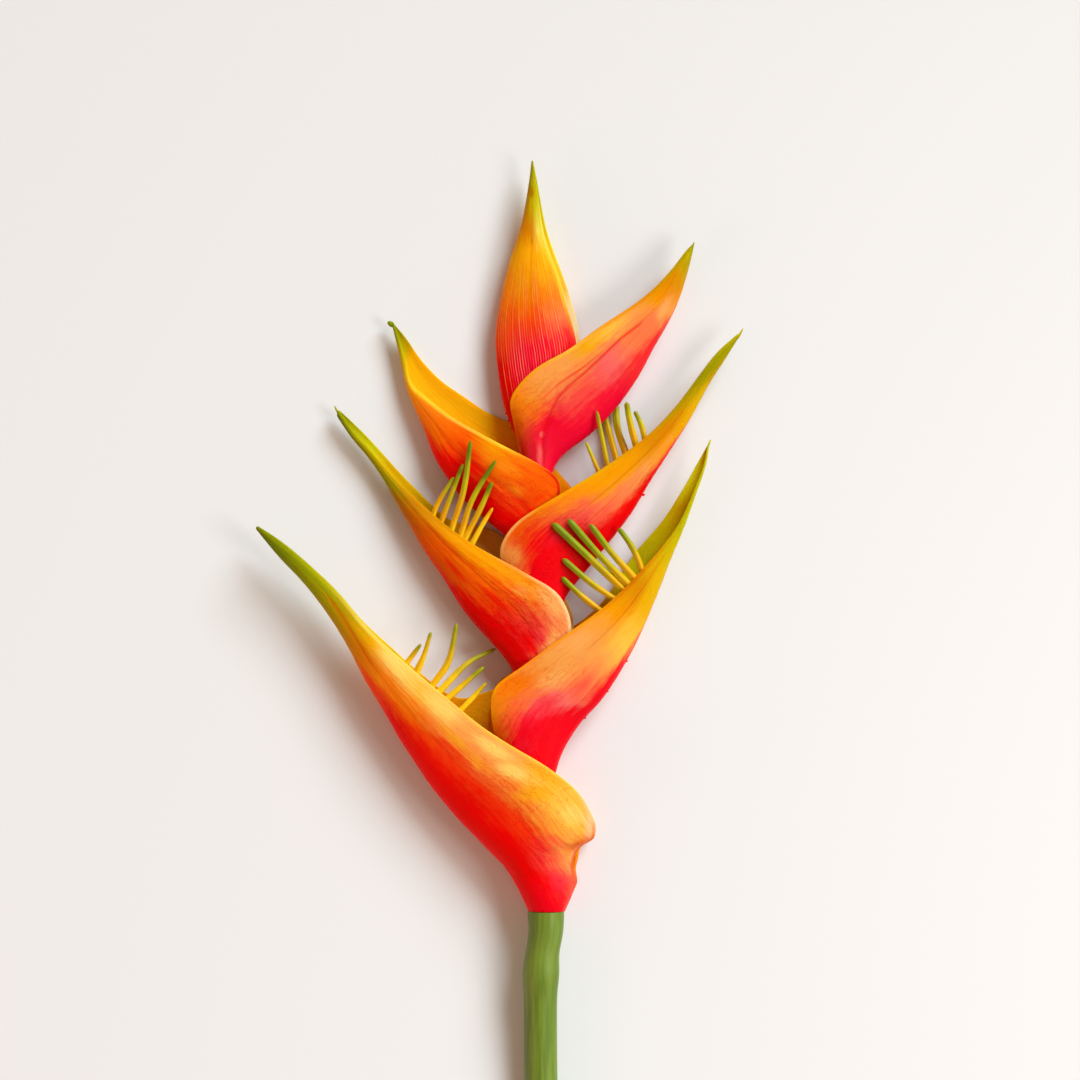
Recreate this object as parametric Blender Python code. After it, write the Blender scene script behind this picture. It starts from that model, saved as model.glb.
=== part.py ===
"""Heliconia flower head on its cut stem, lying on its side on a flat surface.

Seven boat-shaped bracts clasp a zig-zag rachis, to the left and to the right by turns, and a bunch of florets
stands in the mouth of each of the four lowest. Blender units are metres; sizes below are in millimetres.
X is across the head, Y runs up it from the cut end of the stem, and Z points away from the surface.
The drawing's zero is the neck, where the green stem meets the lowest bract.
"""

from dataclasses import dataclass
from math import cos, exp, pi, radians, sin, tan

import bmesh
import bpy
import numpy as np

MM = 0.001

# Driving sizes
GAP = 0.3
NECK_HEIGHT = 13.8
HEAD_SLOPE = 0.024
STEM_LENGTH = 140.0
STEM_LIES = 95.0
STEM_RADIUS = 6.95
NECK_RADIUS = 7.65
NECK_FLARE = 18.0
NODE_SWELLING = 0.75
NODE_DROP = 26.0
NODE_SPREAD = 7.0
CUT_SLANT = radians(20)
SHOULDER_DROP = 0.45
SHOULDER_EDGE = 0.05
WALL = 1.3
RIM_THINNING = 0.35
TIP_HALF_DEPTH = 0.95
TRUNK_RADIUS = 1.8
TRUNK_SEAT = 1.5
TRUNK_TAPER = (0.15, 0.85)
ROOT_SPAN = (0.1, 0.9)
FLORET_RADIUS = 1.2
FLORET_END = 0.6
SHARP_ANGLE = radians(50)

# Steps of the meshes
STEM_SIDES = 14
STEM_RINGS = 8
NECK_RINGS = 14
RACHIS_RINGS = 33
BRACT_ROWS = 22
CHEEK_COLUMNS = 6
FLORET_SIDES = 6
FLORET_RINGS = 8
TRUNK_SIDES = 8
TRUNK_RINGS = 7

# Form of a bract along its length, from 0 at its base to 1 at its tip. The wrap is how far round each cheek goes
SHEATH_WRAP = radians(173)
MOUTH_WRAP = radians(90)
SHEATH_END = 0.06
MOUTH_OPEN = 0.42
WAIST = 0.78
WAIST_PLACE = 0.12
WAIST_END = 0.42
DEPTH_REACH = 1.9
LEAVES_AXIS = 0.35
WALL_SHARE = 0.62
KEEL_SHARE = 0.6

# Where the rachis passes through the base of each bract, from the neck up: x, y and its radius
RACHIS = [
    (0.2, 0.0, 4.9),
    (-0.6, 20.0, 4.0),
    (-1.7, 41.0, 2.7),
    (-4.6, 82.7, 2.4),
    (0.2, 115.1, 2.3),
    (-8.4, 139.9, 2.1),
    (-1.9, 168.4, 1.6),
    (-3.9, 187.5, 1.5),
    (-3.0, 197.0, 1.1),
]
STEM_LINE = [
    (0.4, -STEM_LENGTH),
    (-1.2, -105.0),
    (-1.9, -71.0),
    (-2.0, -NODE_DROP),
    (0.0, -10.0),
    (0.2, -4.0),
    (0.2, 0.0),
]
STEM_NODE = 3


@dataclass
class Bract:
    """Outline of one bract. A station is a keel point, a front rim point and, where it differs, a back rim point."""

    belly: float
    tip_height: float
    stations: list

    def line(self, which):
        return [station[min(which, len(station) - 1)] for station in self.stations]


@dataclass
class Florets:
    """Bunch of florets in a bract: the stretch of keel that its base lies along, and each floret's own points.

    The first point of a floret is where it leaves the mouth, and the last is its tip. Heights go with them.
    """

    stretch: tuple
    tip_radius: float
    outermost_first: bool
    lines: list


BRACTS = [
    Bract(13.7, 17.0, [
        ((-7.3, 0.0), (7.6, 0.0)),
        ((-10.9, 8.0), (12.4, 8.0)),
        ((-14.5, 14.7), (12.0, 18.1)),
        ((-19.1, 20.6), (14.9, 26.0), (16.2, 25.2)),
        ((-23.7, 25.2), (19.9, 31.1)),
        ((-29.2, 31.1), (19.9, 39.1), (17.8, 39.5)),
        ((-35.5, 37.4), (13.2, 50.8), (11.5, 49.6)),
        ((-42.2, 44.9), (-0.2, 61.3), (-0.2, 61.3)),
        ((-48.5, 52.9), (-14.1, 69.3), (-15.0, 90.5)),
        ((-55.6, 63.8), (-27.5, 78.1), (-23.7, 92.0)),
        ((-61.5, 72.7), (-39.3, 87.8), (-37.2, 88.6)),
        ((-68.2, 84.8), (-52.7, 98.7), (-52.7, 99.5)),
        ((-75.8, 97.0), (-67.0, 111.3), (-67.0, 112.1)),
        ((-83.4, 111.7), (-77.5, 121.8)),
        ((-91.8, 125.6), (-86.7, 133.1)),
        ((-101.4, 137.8), (-98.5, 144.5)),
        ((-111.5, 148.3), (-109.8, 154.1)),
        ((-121.0, 159.8), (-120.1, 161.1)),
    ]),
    Bract(11.5, 12.0, [
        ((3.1, 40.3), (-6.5, 41.6)),
        ((3.1, 49.1), (-11.1, 51.2)),
        ((4.0, 58.0), (-16.6, 61.3)),
        ((6.5, 65.5), (-20.8, 72.7)),
        ((10.3, 72.2), (-22.7, 83.2)),
        ((15.8, 79.8), (-21.2, 94.1)),
        ((22.9, 87.6), (-9.9, 102.5)),
        ((30.9, 100.0), (6.1, 114.2), (5.2, 115.5)),
        ((39.7, 115.5), (25.0, 127.7), (22.9, 129.8)),
        ((47.2, 133.1), (39.7, 142.0), (35.5, 146.6)),
        ((52.7, 147.8), (48.1, 151.4), (41.8, 154.6)),
        ((58.2, 160.9), (56.1, 162.3), (50.0, 164.2)),
        ((63.6, 176.0), (62.6, 176.8), (59.0, 178.5)),
        ((67.4, 186.9), (66.6, 187.3), (64.3, 188.2)),
        ((68.9, 195.3), (68.2, 195.5)),
    ]),
    Bract(11.2, 6.5, [
        ((-9.0, 81.9), (-0.2, 83.6)),
        ((-11.5, 91.1), (3.1, 92.8)),
        ((-13.8, 100.5), (6.9, 103.7)),
        ((-18.3, 107.3), (10.3, 113.8), (11.1, 113.8)),
        ((-23.7, 113.6), (10.1, 123.5), (11.5, 124.3)),
        ((-30.0, 121.0), (4.8, 133.6), (5.7, 134.8)),
        ((-36.8, 130.0), (-6.1, 140.3), (-6.1, 141.3)),
        ((-43.9, 140.7), (-18.3, 147.0), (-16.6, 156.2)),
        ((-50.6, 150.8), (-30.4, 153.7), (-27.5, 161.3)),
        ((-56.5, 160.9), (-42.2, 162.1), (-40.5, 163.8)),
        ((-62.4, 170.5), (-54.8, 173.0), (-53.1, 175.3)),
        ((-68.7, 182.1), (-65.3, 182.9), (-62.4, 184.8)),
        ((-75.8, 191.9), (-74.1, 193.6), (-71.6, 195.1)),
        ((-82.1, 199.3), (-80.6, 200.5), (-79.4, 203.1)),
        ((-87.6, 207.5), (-86.7, 209.6), (-86.7, 210.0)),
    ]),
    Bract(10.1, 11.0, [
        ((4.4, 113.8), (-4.0, 116.3)),
        ((5.7, 122.2), (-9.0, 125.6)),
        ((8.1, 130.9), (-15.3, 136.5)),
        ((11.8, 136.1), (-18.9, 147.8)),
        ((16.8, 142.6), (-17.8, 155.4)),
        ((23.1, 150.2), (-11.1, 164.0)),
        ((30.9, 160.4), (4.0, 173.2)),
        ((38.9, 171.4), (19.9, 182.9)),
        ((46.4, 184.0), (35.5, 193.6)),
        ((53.1, 194.7), (45.6, 201.6)),
        ((60.7, 206.4), (55.2, 211.9)),
        ((68.2, 220.5), (64.0, 223.7)),
        ((75.4, 231.6), (72.0, 234.1)),
        ((81.5, 241.3), (80.4, 241.9)),
    ]),
    Bract(9.4, 6.0, [
        ((-12.4, 139.0), (-4.4, 140.7)),
        ((-14.5, 148.3), (-0.2, 149.1)),
        ((-17.0, 157.5), (3.1, 162.5)),
        ((-21.2, 161.1), (5.7, 173.5), (11.1, 175.1)),
        ((-26.7, 165.5), (5.0, 181.4), (8.2, 181.0)),
        ((-33.4, 171.8), (-3.6, 187.7), (1.1, 188.6)),
        ((-40.1, 180.2), (-16.6, 194.5), (-10.3, 202.4)),
        ((-46.0, 189.0), (-29.6, 201.4), (-24.6, 209.4)),
        ((-50.6, 201.4), (-40.1, 207.6), (-34.6, 216.1)),
        ((-54.8, 210.4), (-50.6, 215.9), (-44.3, 222.8)),
        ((-58.6, 220.1), (-56.9, 221.8), (-52.7, 231.6)),
        ((-61.1, 231.8), (-59.4, 232.5), (-58.0, 239.4)),
        ((-63.6, 242.1), (-62.6, 242.8), (-61.7, 244.0)),
        ((-65.3, 247.6), (-64.7, 248.0)),
    ]),
    Bract(9.3, 11.0, [
        ((1.5, 167.6), (-5.2, 169.3)),
        ((1.5, 176.4), (-8.2, 178.9)),
        ((3.4, 185.2), (-10.9, 192.8)),
        ((6.5, 190.3), (-13.7, 206.2)),
        ((11.5, 194.9), (-14.8, 213.8)),
        ((17.8, 199.7), (-10.9, 220.7)),
        ((25.0, 206.6), (-2.3, 228.7)),
        ((32.1, 214.0), (9.4, 235.2)),
        ((38.9, 224.1), (21.6, 244.0)),
        ((45.1, 236.0), (33.4, 251.8)),
        ((51.0, 246.1), (43.9, 259.6)),
        ((56.5, 257.9), (52.3, 268.2)),
        ((60.7, 271.7), (58.8, 276.6)),
        ((62.6, 280.3), (61.9, 280.1)),
    ]),
    Bract(6.9, 10.0, [
        ((-7.6, 187.5), (-0.2, 188.5)),
        ((-9.4, 195.5), (4.4, 202.0)),
        ((-13.4, 203.7), (10.3, 215.5)),
        ((-17.6, 213.8), (12.4, 228.1), (14.5, 228.1)),
        ((-19.9, 225.5), (12.8, 238.6), (14.7, 238.6)),
        ((-21.0, 237.3), (10.7, 246.5), (14.1, 247.4)),
        ((-20.2, 249.9), (7.8, 257.0), (11.1, 257.5)),
        ((-17.8, 262.5), (4.6, 268.4), (7.3, 266.7)),
        ((-14.5, 274.5), (1.5, 276.6), (3.8, 275.9)),
        ((-10.9, 286.0), (-1.3, 285.6), (0.4, 285.8)),
        ((-8.4, 297.4), (-2.9, 296.5), (-2.1, 296.9)),
        ((-6.7, 307.9), (-4.4, 307.4), (-4.0, 307.9)),
        ((-6.0, 314.4), (-5.2, 314.4)),
    ]),
]

# Florets of the four lowest bracts: x, y and height of each point
FLORETS = [
    Florets((0.53, 0.68), 0.6, True, [
        [(-58.2, 104.2, 17.0), (-52.1, 112.3, 19.5)],
        [(-54.0, 100.4, 17.5), (-50.6, 108.4, 19.5), (-48.0, 117.3, 20.0)],
        [(-47.2, 95.1, 16.5), (-40.5, 105.4, 18.5), (-37.2, 121.1, 19.0)],
        [(-44.3, 92.4, 15.0), (-33.1, 103.7, 12.0), (-21.0, 110.1, 6.5)],
        [(-40.5, 89.9, 16.0), (-25.8, 102.6, 14.5)],
        [(-35.2, 84.8, 15.5), (-24.8, 95.8, 14.5)],
    ]),
    Florets((0.48, 0.64), 0.95, False, [
        [(22.9, 126.1, 15.0), (14.8, 132.6, 16.5), (6.7, 140.2, 18.5)],
        [(29.5, 130.6, 15.5), (18.6, 136.5, 18.5), (7.1, 148.0, 20.5)],
        [(32.8, 134.9, 15.0), (17.0, 149.7, 20.0), (2.9, 163.0, 22.5)],
        [(34.6, 137.3, 15.5), (21.9, 150.2, 19.5), (9.4, 164.6, 22.5)],
        [(37.4, 139.7, 15.0), (27.9, 150.2, 18.0), (18.6, 162.5, 21.5)],
        [(40.1, 144.1, 14.2), (36.2, 153.0, 16.5), (30.7, 160.7, 18.0)],
    ]),
    Florets((0.46, 0.60), 0.6, True, [
        [(-46.9, 167.6, 10.5), (-38.4, 182.3, 16.5)],
        [(-43.3, 165.1, 11.5), (-34.6, 187.7, 19.5)],
        [(-39.1, 161.3, 12.5), (-34.2, 177.4, 17.5), (-31.4, 197.6, 21.5)],
        [(-35.5, 158.3, 13.5), (-30.6, 173.0, 18.0), (-20.8, 189.3, 21.5)],
        [(-33.3, 157.3, 14.0), (-27.1, 169.4, 17.5), (-22.3, 180.3, 20.0)],
        [(-30.0, 155.8, 14.0), (-26.2, 162.7, 15.5), (-22.1, 169.3, 17.5)],
    ]),
    Florets((0.46, 0.64), 0.6, False, [
        [(22.3, 184.6, 12.5), (17.0, 197.0, 13.0)],
        [(26.0, 187.7, 12.0), (21.5, 210.0, 16.0)],
        [(30.0, 190.0, 8.5), (25.8, 206.6, 4.5)],
        [(33.8, 192.9, 8.5), (30.0, 203.0, 6.0), (30.9, 211.7, 4.5)],
        [(38.0, 195.6, 11.5), (35.4, 205.8, 12.5), (34.0, 213.8, 13.0)],
        [(41.8, 198.2, 11.5), (40.1, 204.5, 12.0), (37.5, 210.0, 12.5)],
    ]),
]

# Plain colours: red, green, blue, and roughness
STEM_COLOUR = (0.15, 0.24, 0.045, 0.45)
BRACT_COLOURS = [
    (0.85, 0.13, 0.02, 0.42),
    (0.88, 0.12, 0.05, 0.42),
    (0.80, 0.16, 0.03, 0.42),
    (0.86, 0.17, 0.04, 0.42),
    (0.80, 0.17, 0.02, 0.42),
    (0.86, 0.14, 0.08, 0.42),
    (0.82, 0.20, 0.02, 0.42),
]
FLORET_COLOUR = (0.62, 0.48, 0.02, 0.45)


def smooth_step(value):
    """Eases from 0 to 1 as value goes from 0 to 1."""
    value = np.clip(value, 0.0, 1.0)
    return value * value * (3 - 2 * value)


def smooth_curve(points, places):
    """Reads a smooth curve through the points at places from 0 to 1, counted evenly from point to point."""
    points = np.asarray(points, float)
    padded = np.vstack([2 * points[0] - points[1], points, 2 * points[-1] - points[-2]])
    position = np.asarray(places, float) * (len(points) - 1)
    index = np.minimum(position.astype(int), len(points) - 2)
    part = (position - index)[:, None]
    before, start, end, after = (padded[index + step] for step in range(4))
    bend = 2 * before - 5 * start + 4 * end - after
    twist = 3 * start - before - 3 * end + after
    return 0.5 * (2 * start + (end - before) * part + bend * part**2 + twist * part**3)


def axis_height(y):
    """Height of the rachis: the head leans down a little towards its top."""
    return NECK_HEIGHT - HEAD_SLOPE * y


def middle_height(bract, places):
    """Height of the plane between the cheeks: on the rachis at the base, at the tip's own height at the end."""
    middle = (smooth_curve(bract.line(0), places) + smooth_curve(bract.line(1), places)) / 2
    share = smooth_step((places - LEAVES_AXIS) / (1 - LEAVES_AXIS))
    return axis_height(middle[:, 1]) * (1 - share) + bract.tip_height * share


def cheek(bract, side, places, around):
    """Outer and inner points of one cheek: rows along the bract at places, columns from the keel to the rim."""
    keel = smooth_curve(bract.line(0), places)
    chord = smooth_curve(bract.line(1 if side > 0 else 2), places) - keel
    length = np.linalg.norm(chord, axis=1)[:, None]
    middle = middle_height(bract, places)[:, None]
    narrowed = smooth_step(places / WAIST_PLACE)
    narrowed *= 1 - smooth_step((places - WAIST_PLACE) / (WAIST_END - WAIST_PLACE))
    waist = 1 - (1 - WAIST) * narrowed[:, None]
    depth = bract.belly * np.tanh(length / (DEPTH_REACH * bract.belly)) * waist
    depth = np.hypot(depth, TIP_HALF_DEPTH)
    wall = np.minimum(WALL, WALL_SHARE * depth)
    opened = smooth_step((places - SHEATH_END) / (MOUTH_OPEN - SHEATH_END))[:, None]
    wrap = SHEATH_WRAP + (MOUTH_WRAP - SHEATH_WRAP) * opened
    angle = wrap * around[None, :]
    across = (1 - np.cos(angle)) / (1 - np.cos(wrap))
    keel_inset = np.minimum(wall / length, KEEL_SHARE)
    rim_inset = keel_inset * np.maximum(0.0, -np.cos(wrap))
    across_inside = keel_inset + (1 - keel_inset - rim_inset) * across
    side_wall = wall * (1 - RIM_THINNING * around[None, :])
    outer_height = np.maximum(middle + side * depth * np.sin(angle), 0.0)
    inner_height = np.maximum(middle + side * (depth - side_wall) * np.sin(angle), side_wall)
    skins = []
    for share, height in ((across, outer_height), (across_inside, inner_height)):
        flat = keel[:, None, :] + chord[:, None, :] * share[:, :, None]
        skins.append(np.dstack([flat, height]))
    return skins


def bract_skins(bract, rows, columns):
    """Outer and inner skins of the whole bract, with columns from the back rim round the keel to the front rim."""
    places = np.linspace(0.0, 1.0, rows + 1)
    around = np.linspace(0.0, 1.0, columns + 1)
    back = cheek(bract, -1, places, around)
    front = cheek(bract, 1, places, around)
    return [np.hstack([b[:, :0:-1], f]) for b, f in zip(back, front)]


def new_object(name, mesh, colour, parent):
    """Puts a mesh into the scene under its name, with a plain material of its own."""
    red, green, blue, roughness = colour
    material = bpy.data.materials.new(name)
    material.use_nodes = True
    surface = material.node_tree.nodes["Principled BSDF"]
    surface.inputs["Base Color"].default_value = (red, green, blue, 1.0)
    surface.inputs["Roughness"].default_value = roughness
    surface.inputs["Metallic"].default_value = 0.0
    mesh.materials.append(material)
    mesh.shade_smooth()
    mesh.set_sharp_from_angle(angle=SHARP_ANGLE)
    item = bpy.data.objects.new(name, mesh)
    item.parent = parent
    bpy.context.scene.collection.objects.link(item)
    return item


def closed_mesh(name, points, faces):
    """Makes a mesh with its faces turned outwards from points in millimetres."""
    work = bmesh.new()
    corners = [work.verts.new(tuple(float(part) * MM for part in point)) for point in points]
    for face in faces:
        work.faces.new([corners[index] for index in face])
    bmesh.ops.recalc_face_normals(work, faces=work.faces)
    mesh = bpy.data.meshes.new(name)
    work.to_mesh(mesh)
    work.free()
    return mesh


def sheet_mesh(name, outer, inner):
    """Closes two skins of the same grid into a solid sheet, split into triangles alike on both."""
    rows, columns = outer.shape[:2]
    count = rows * columns
    points = np.vstack([outer.reshape(count, 3), inner.reshape(count, 3)])
    faces = []
    for row in range(rows - 1):
        for column in range(columns - 1):
            a, b = row * columns + column, row * columns + column + 1
            c, d = b + columns, a + columns
            triangles = [(a, b, c), (a, c, d)] if column < columns // 2 else [(a, b, d), (b, c, d)]
            for triangle in triangles:
                faces.append(triangle)
                faces.append(tuple(index + count for index in reversed(triangle)))
    border = [row * columns for row in range(rows)]
    border += [(rows - 1) * columns + column for column in range(1, columns)]
    border += [row * columns + columns - 1 for row in range(rows - 2, -1, -1)]
    border += [column for column in range(columns - 2, 0, -1)]
    for start, end in zip(border, border[1:] + border[:1]):
        faces.append((start, end, end + count))
        faces.append((start, end + count, start + count))
    return closed_mesh(name, points, faces)


def tube(line, radii, sides, slant=0.0):
    """Points and faces of a closed tube along a line. A flat side faces down, and slant tilts its first end."""
    line = np.asarray(line, float)
    along = np.gradient(line, axis=0)
    along /= np.linalg.norm(along, axis=1)[:, None]
    sideways = np.cross(along, (0.0, 0.0, 1.0))
    sideways /= np.linalg.norm(sideways, axis=1)[:, None]
    upward = np.cross(sideways, along)
    turns = (np.arange(sides) + 0.5) / sides * 2 * pi - pi / 2
    points, faces = [], []
    for ring, (centre, radius) in enumerate(zip(line, radii)):
        for turn in turns:
            offset = radius * (cos(turn) * sideways[ring] + sin(turn) * upward[ring])
            shift = radius * cos(turn) * tan(slant) * along[ring] if ring == 0 else 0.0
            points.append(centre + offset + shift)
    for ring in range(len(line) - 1):
        for side in range(sides):
            a, b = ring * sides + side, ring * sides + (side + 1) % sides
            faces.append((a, b, b + sides, a + sides))
    faces.append(tuple(reversed(range(sides))))
    faces.append(tuple((len(line) - 1) * sides + side for side in range(sides)))
    return points, faces


def stem_radius(y):
    """Radius of the green stem: a swelling at its node, and a wider neck."""
    swelling = NODE_SWELLING * exp(-(((y + NODE_DROP) / NODE_SPREAD) ** 2))
    return STEM_RADIUS + swelling + (NECK_RADIUS - STEM_RADIUS) * float(smooth_step(1 + y / NECK_FLARE))


def add_stem(parent):
    """Green stem up to a shoulder at the neck, and the thin rachis that goes on inside the head."""
    node_place = STEM_NODE / (len(STEM_LINE) - 1)
    places = np.concatenate([
        np.linspace(0.0, node_place, STEM_RINGS, endpoint=False),
        np.linspace(node_place, 1.0, NECK_RINGS),
    ])
    line, radii = [], []
    for x, y in smooth_curve(STEM_LINE, places):
        radius = stem_radius(y)
        lying = radius * cos(pi / STEM_SIDES)
        rise = float(smooth_step(1 + y / STEM_LIES))
        line.append((x, y, lying + (NECK_HEIGHT - lying) * rise))
        radii.append(radius)
    line[-1] = (line[-1][0], -SHOULDER_DROP, line[-1][2])
    rachis = smooth_curve(RACHIS, np.linspace(0.0, 1.0, RACHIS_RINGS))
    rachis[0, 1] = -SHOULDER_DROP + SHOULDER_EDGE
    for x, y, radius in rachis:
        line.append((x, y, axis_height(y)))
        radii.append(radius)
    points, faces = tube(line, radii, STEM_SIDES, CUT_SLANT)
    new_object("stem", closed_mesh("stem", points, faces), STEM_COLOUR, parent)


def add_bract(number, bract, parent):
    """One bract, a thin folded sheet with a keel, two cheeks and a sheath at its base."""
    outer, inner = bract_skins(bract, BRACT_ROWS, CHEEK_COLUMNS)
    name = f"bract_{number}"
    new_object(name, sheet_mesh(name, outer, inner), BRACT_COLOURS[number - 1], parent)


def trunk_line(bract, stretch, rings):
    """The common base of a bunch, in the trough of its bract just clear of the keel."""
    places = np.linspace(*stretch, rings)
    keel = smooth_curve(bract.line(0), places)
    chord = smooth_curve(bract.line(1), places) - keel
    chord /= np.linalg.norm(chord, axis=1)[:, None]
    flat = keel + chord * (WALL + GAP + TRUNK_SEAT * TRUNK_RADIUS)
    return np.column_stack([flat, middle_height(bract, places)])


def add_florets(number, bract, bunch, parent):
    """A bunch of florets joined into one solid with their common base."""
    trunk = trunk_line(bract, bunch.stretch, TRUNK_RINGS)
    swell = np.sqrt(np.sin(np.linspace(*TRUNK_TAPER, TRUNK_RINGS) * pi))
    name = f"florets_{number}"
    points, faces = tube(trunk, TRUNK_RADIUS * swell, TRUNK_SIDES)
    body = new_object(name, closed_mesh(name, points, faces), FLORET_COLOUR, parent)
    helpers = bpy.data.collections.new(f"{name}_pieces")
    roots = smooth_curve(trunk, np.linspace(*ROOT_SPAN, len(bunch.lines)))
    steps = np.linspace(0.0, 1.0, FLORET_RINGS)
    radii = FLORET_RADIUS + (bunch.tip_radius - FLORET_RADIUS) * steps**2
    radii[-1] *= FLORET_END
    for index, line in enumerate(bunch.lines):
        root = roots[-1 - index] if bunch.outermost_first else roots[index]
        centre = smooth_curve([root] + line, steps)
        points, faces = tube(centre, radii, FLORET_SIDES)
        piece = bpy.data.objects.new(f"{name}_{index}", closed_mesh(f"{name}_{index}", points, faces))
        helpers.objects.link(piece)
    union = body.modifiers.new("Join", "BOOLEAN")
    union.operation = "UNION"
    union.operand_type = "COLLECTION"
    union.collection = helpers
    union.solver = "EXACT"
    bpy.context.view_layer.update()
    graph = bpy.context.evaluated_depsgraph_get()
    joined = bpy.data.meshes.new_from_object(body.evaluated_get(graph))
    body.modifiers.clear()
    body.data = joined
    for piece in list(helpers.objects):
        bpy.data.objects.remove(piece)
    bpy.data.collections.remove(helpers)


def centre_on_origin(parent):
    """Moves the whole flower so that the origin is under the middle of its outline, on the surface."""
    corners = [
        vertex.co
        for item in bpy.context.scene.objects
        if item.type == "MESH"
        for vertex in item.data.vertices
    ]
    for axis in range(2):
        values = [corner[axis] for corner in corners]
        parent.location[axis] = -(min(values) + max(values)) / 2


def main():
    for item in list(bpy.data.objects):
        bpy.data.objects.remove(item)
    flower = bpy.data.objects.new("heliconia", None)
    bpy.context.scene.collection.objects.link(flower)
    add_stem(flower)
    for number, bract in enumerate(BRACTS, 1):
        add_bract(number, bract, flower)
    for number, bunch in enumerate(FLORETS, 1):
        add_florets(number, BRACTS[number - 1], bunch, flower)
    centre_on_origin(flower)


main()
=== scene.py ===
from dataclasses import dataclass
from math import cos, pi, radians, sin, tan

import bpy
import numpy as np
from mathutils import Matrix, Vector


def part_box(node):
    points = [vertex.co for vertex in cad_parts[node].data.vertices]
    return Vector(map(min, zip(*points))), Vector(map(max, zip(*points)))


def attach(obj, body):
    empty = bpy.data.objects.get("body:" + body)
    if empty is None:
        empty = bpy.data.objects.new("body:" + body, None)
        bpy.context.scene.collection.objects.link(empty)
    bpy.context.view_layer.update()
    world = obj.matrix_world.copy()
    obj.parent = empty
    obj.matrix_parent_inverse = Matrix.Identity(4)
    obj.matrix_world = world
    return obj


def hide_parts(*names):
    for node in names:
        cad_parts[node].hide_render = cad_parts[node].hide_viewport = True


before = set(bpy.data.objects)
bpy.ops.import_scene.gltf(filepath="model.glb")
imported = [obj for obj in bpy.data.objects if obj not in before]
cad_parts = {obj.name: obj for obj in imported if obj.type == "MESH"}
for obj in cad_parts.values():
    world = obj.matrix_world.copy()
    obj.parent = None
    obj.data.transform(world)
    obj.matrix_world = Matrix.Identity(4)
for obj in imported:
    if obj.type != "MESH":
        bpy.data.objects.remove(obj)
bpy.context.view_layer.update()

# A heliconia flower head on its cut stem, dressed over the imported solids, with its studio and camera.
# Sizes are in millimetres. The drawing's zero is the neck, where the stem meets the lowest bract.
MM = 0.001
CM = 10.0
LOWEST_TIP_X = -121.0

# The photo: its side and the neck's place in pixels, and the millimetres to a pixel
PHOTO_SIDE = 1080
NECK_PIXEL = (545.5, 911.0)
PIXEL = 0.42

NECK_HEIGHT = 13.8
HEAD_SLOPE = 0.024
STEM_LENGTH = 140.0
STEM_LIES = 95.0
STEM_RADIUS = 6.95
NECK_RADIUS = 7.65
NECK_FLARE = 18.0
NODE_SWELLING = 0.75
NODE_DROP = 26.0
NODE_SPREAD = 7.0
CUT_SLANT = radians(20)
SHOULDER_DROP = 0.4
SHOULDER_EDGE = 0.05
SOLID_STEM_SIDES = 14
WALL = 1.3
RIM_THINNING = 0.35
TIP_HALF_DEPTH = 0.95
TRUNK_RADIUS = 1.8
TRUNK_SEAT = 1.5
GAP = 0.3

# Form of a bract along its length, from 0 at its base to 1 at its tip
SHEATH_WRAP = radians(173)
MOUTH_WRAP = radians(90)
SHEATH_END = 0.06
MOUTH_OPEN = 0.42
WAIST = 0.78
WAIST_PLACE = 0.12
WAIST_END = 0.42
DEPTH_REACH = 1.9
LEAVES_AXIS = 0.35
WALL_SHARE = 0.62
KEEL_SHARE = 0.6
RIM_ROLL = 0.1
RIM_ROLL_START = 0.72
RIM_BULGE = 0.85
TIP_TURN = radians(84)
TIP_REACH = 1.1

# Relief of a bract's skin. It is weaker where the bract is narrower than the full relief's chord
FULL_RELIEF_CHORD = 16.0
LUMP_HEIGHT = 0.2
VEINS_PER_CM = 3.4
VEIN_HEIGHT = 0.03
LINES_PER_CM = 6.5
LINE_HEIGHT = 0.02
CREASE_WIDTH = 0.05
SWELL_WIDTH = 0.08
CREASE_TO_SWELL = 0.12
SEAM_HEIGHT = 0.06
SEAM_WAVES = 0.03
PALE_LINES_PER_CM = 9.0

# Steps of the meshes
ROW_SPACING = 0.9
OUTER_COLUMNS = 64
INNER_COLUMNS = 30
RIM_STEPS = 5
TIP_STEPS = 6
SHARP_ANGLE = radians(60)
STEM_SIDES = 72
STEM_RINGS = 200
RACHIS_RINGS = 120
TRUNK_RINGS = 40
FLORET_SIDES = 20
FLORET_RINGS = 44
SPINDLE_SIDES = 12
SPINDLE_RINGS = 13

# Where the rachis runs, from the neck up: x, y and its radius
RACHIS = [
    (0.2, 0.0, 4.9), (-0.6, 20.0, 4.0), (-1.7, 41.0, 2.7), (-4.6, 82.7, 2.4), (0.2, 115.1, 2.3),
    (-8.4, 139.9, 2.1), (-1.9, 168.4, 1.6), (-3.9, 187.5, 1.5), (-3.0, 197.0, 1.1),
]
STEM_LINE = [
    (0.4, -STEM_LENGTH), (-1.2, -105.0), (-1.9, -71.0), (-2.0, -NODE_DROP), (0.0, -10.0), (0.2, -4.0), (0.2, 0.0),
]
# Rings of the stem's cut face: a share of its radius, and how deep it is sunk
CUT_FACE = [(0.1, 0.5), (0.35, 0.4), (0.6, 0.2), (0.8, 0.05), (0.93, -0.1)]

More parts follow.
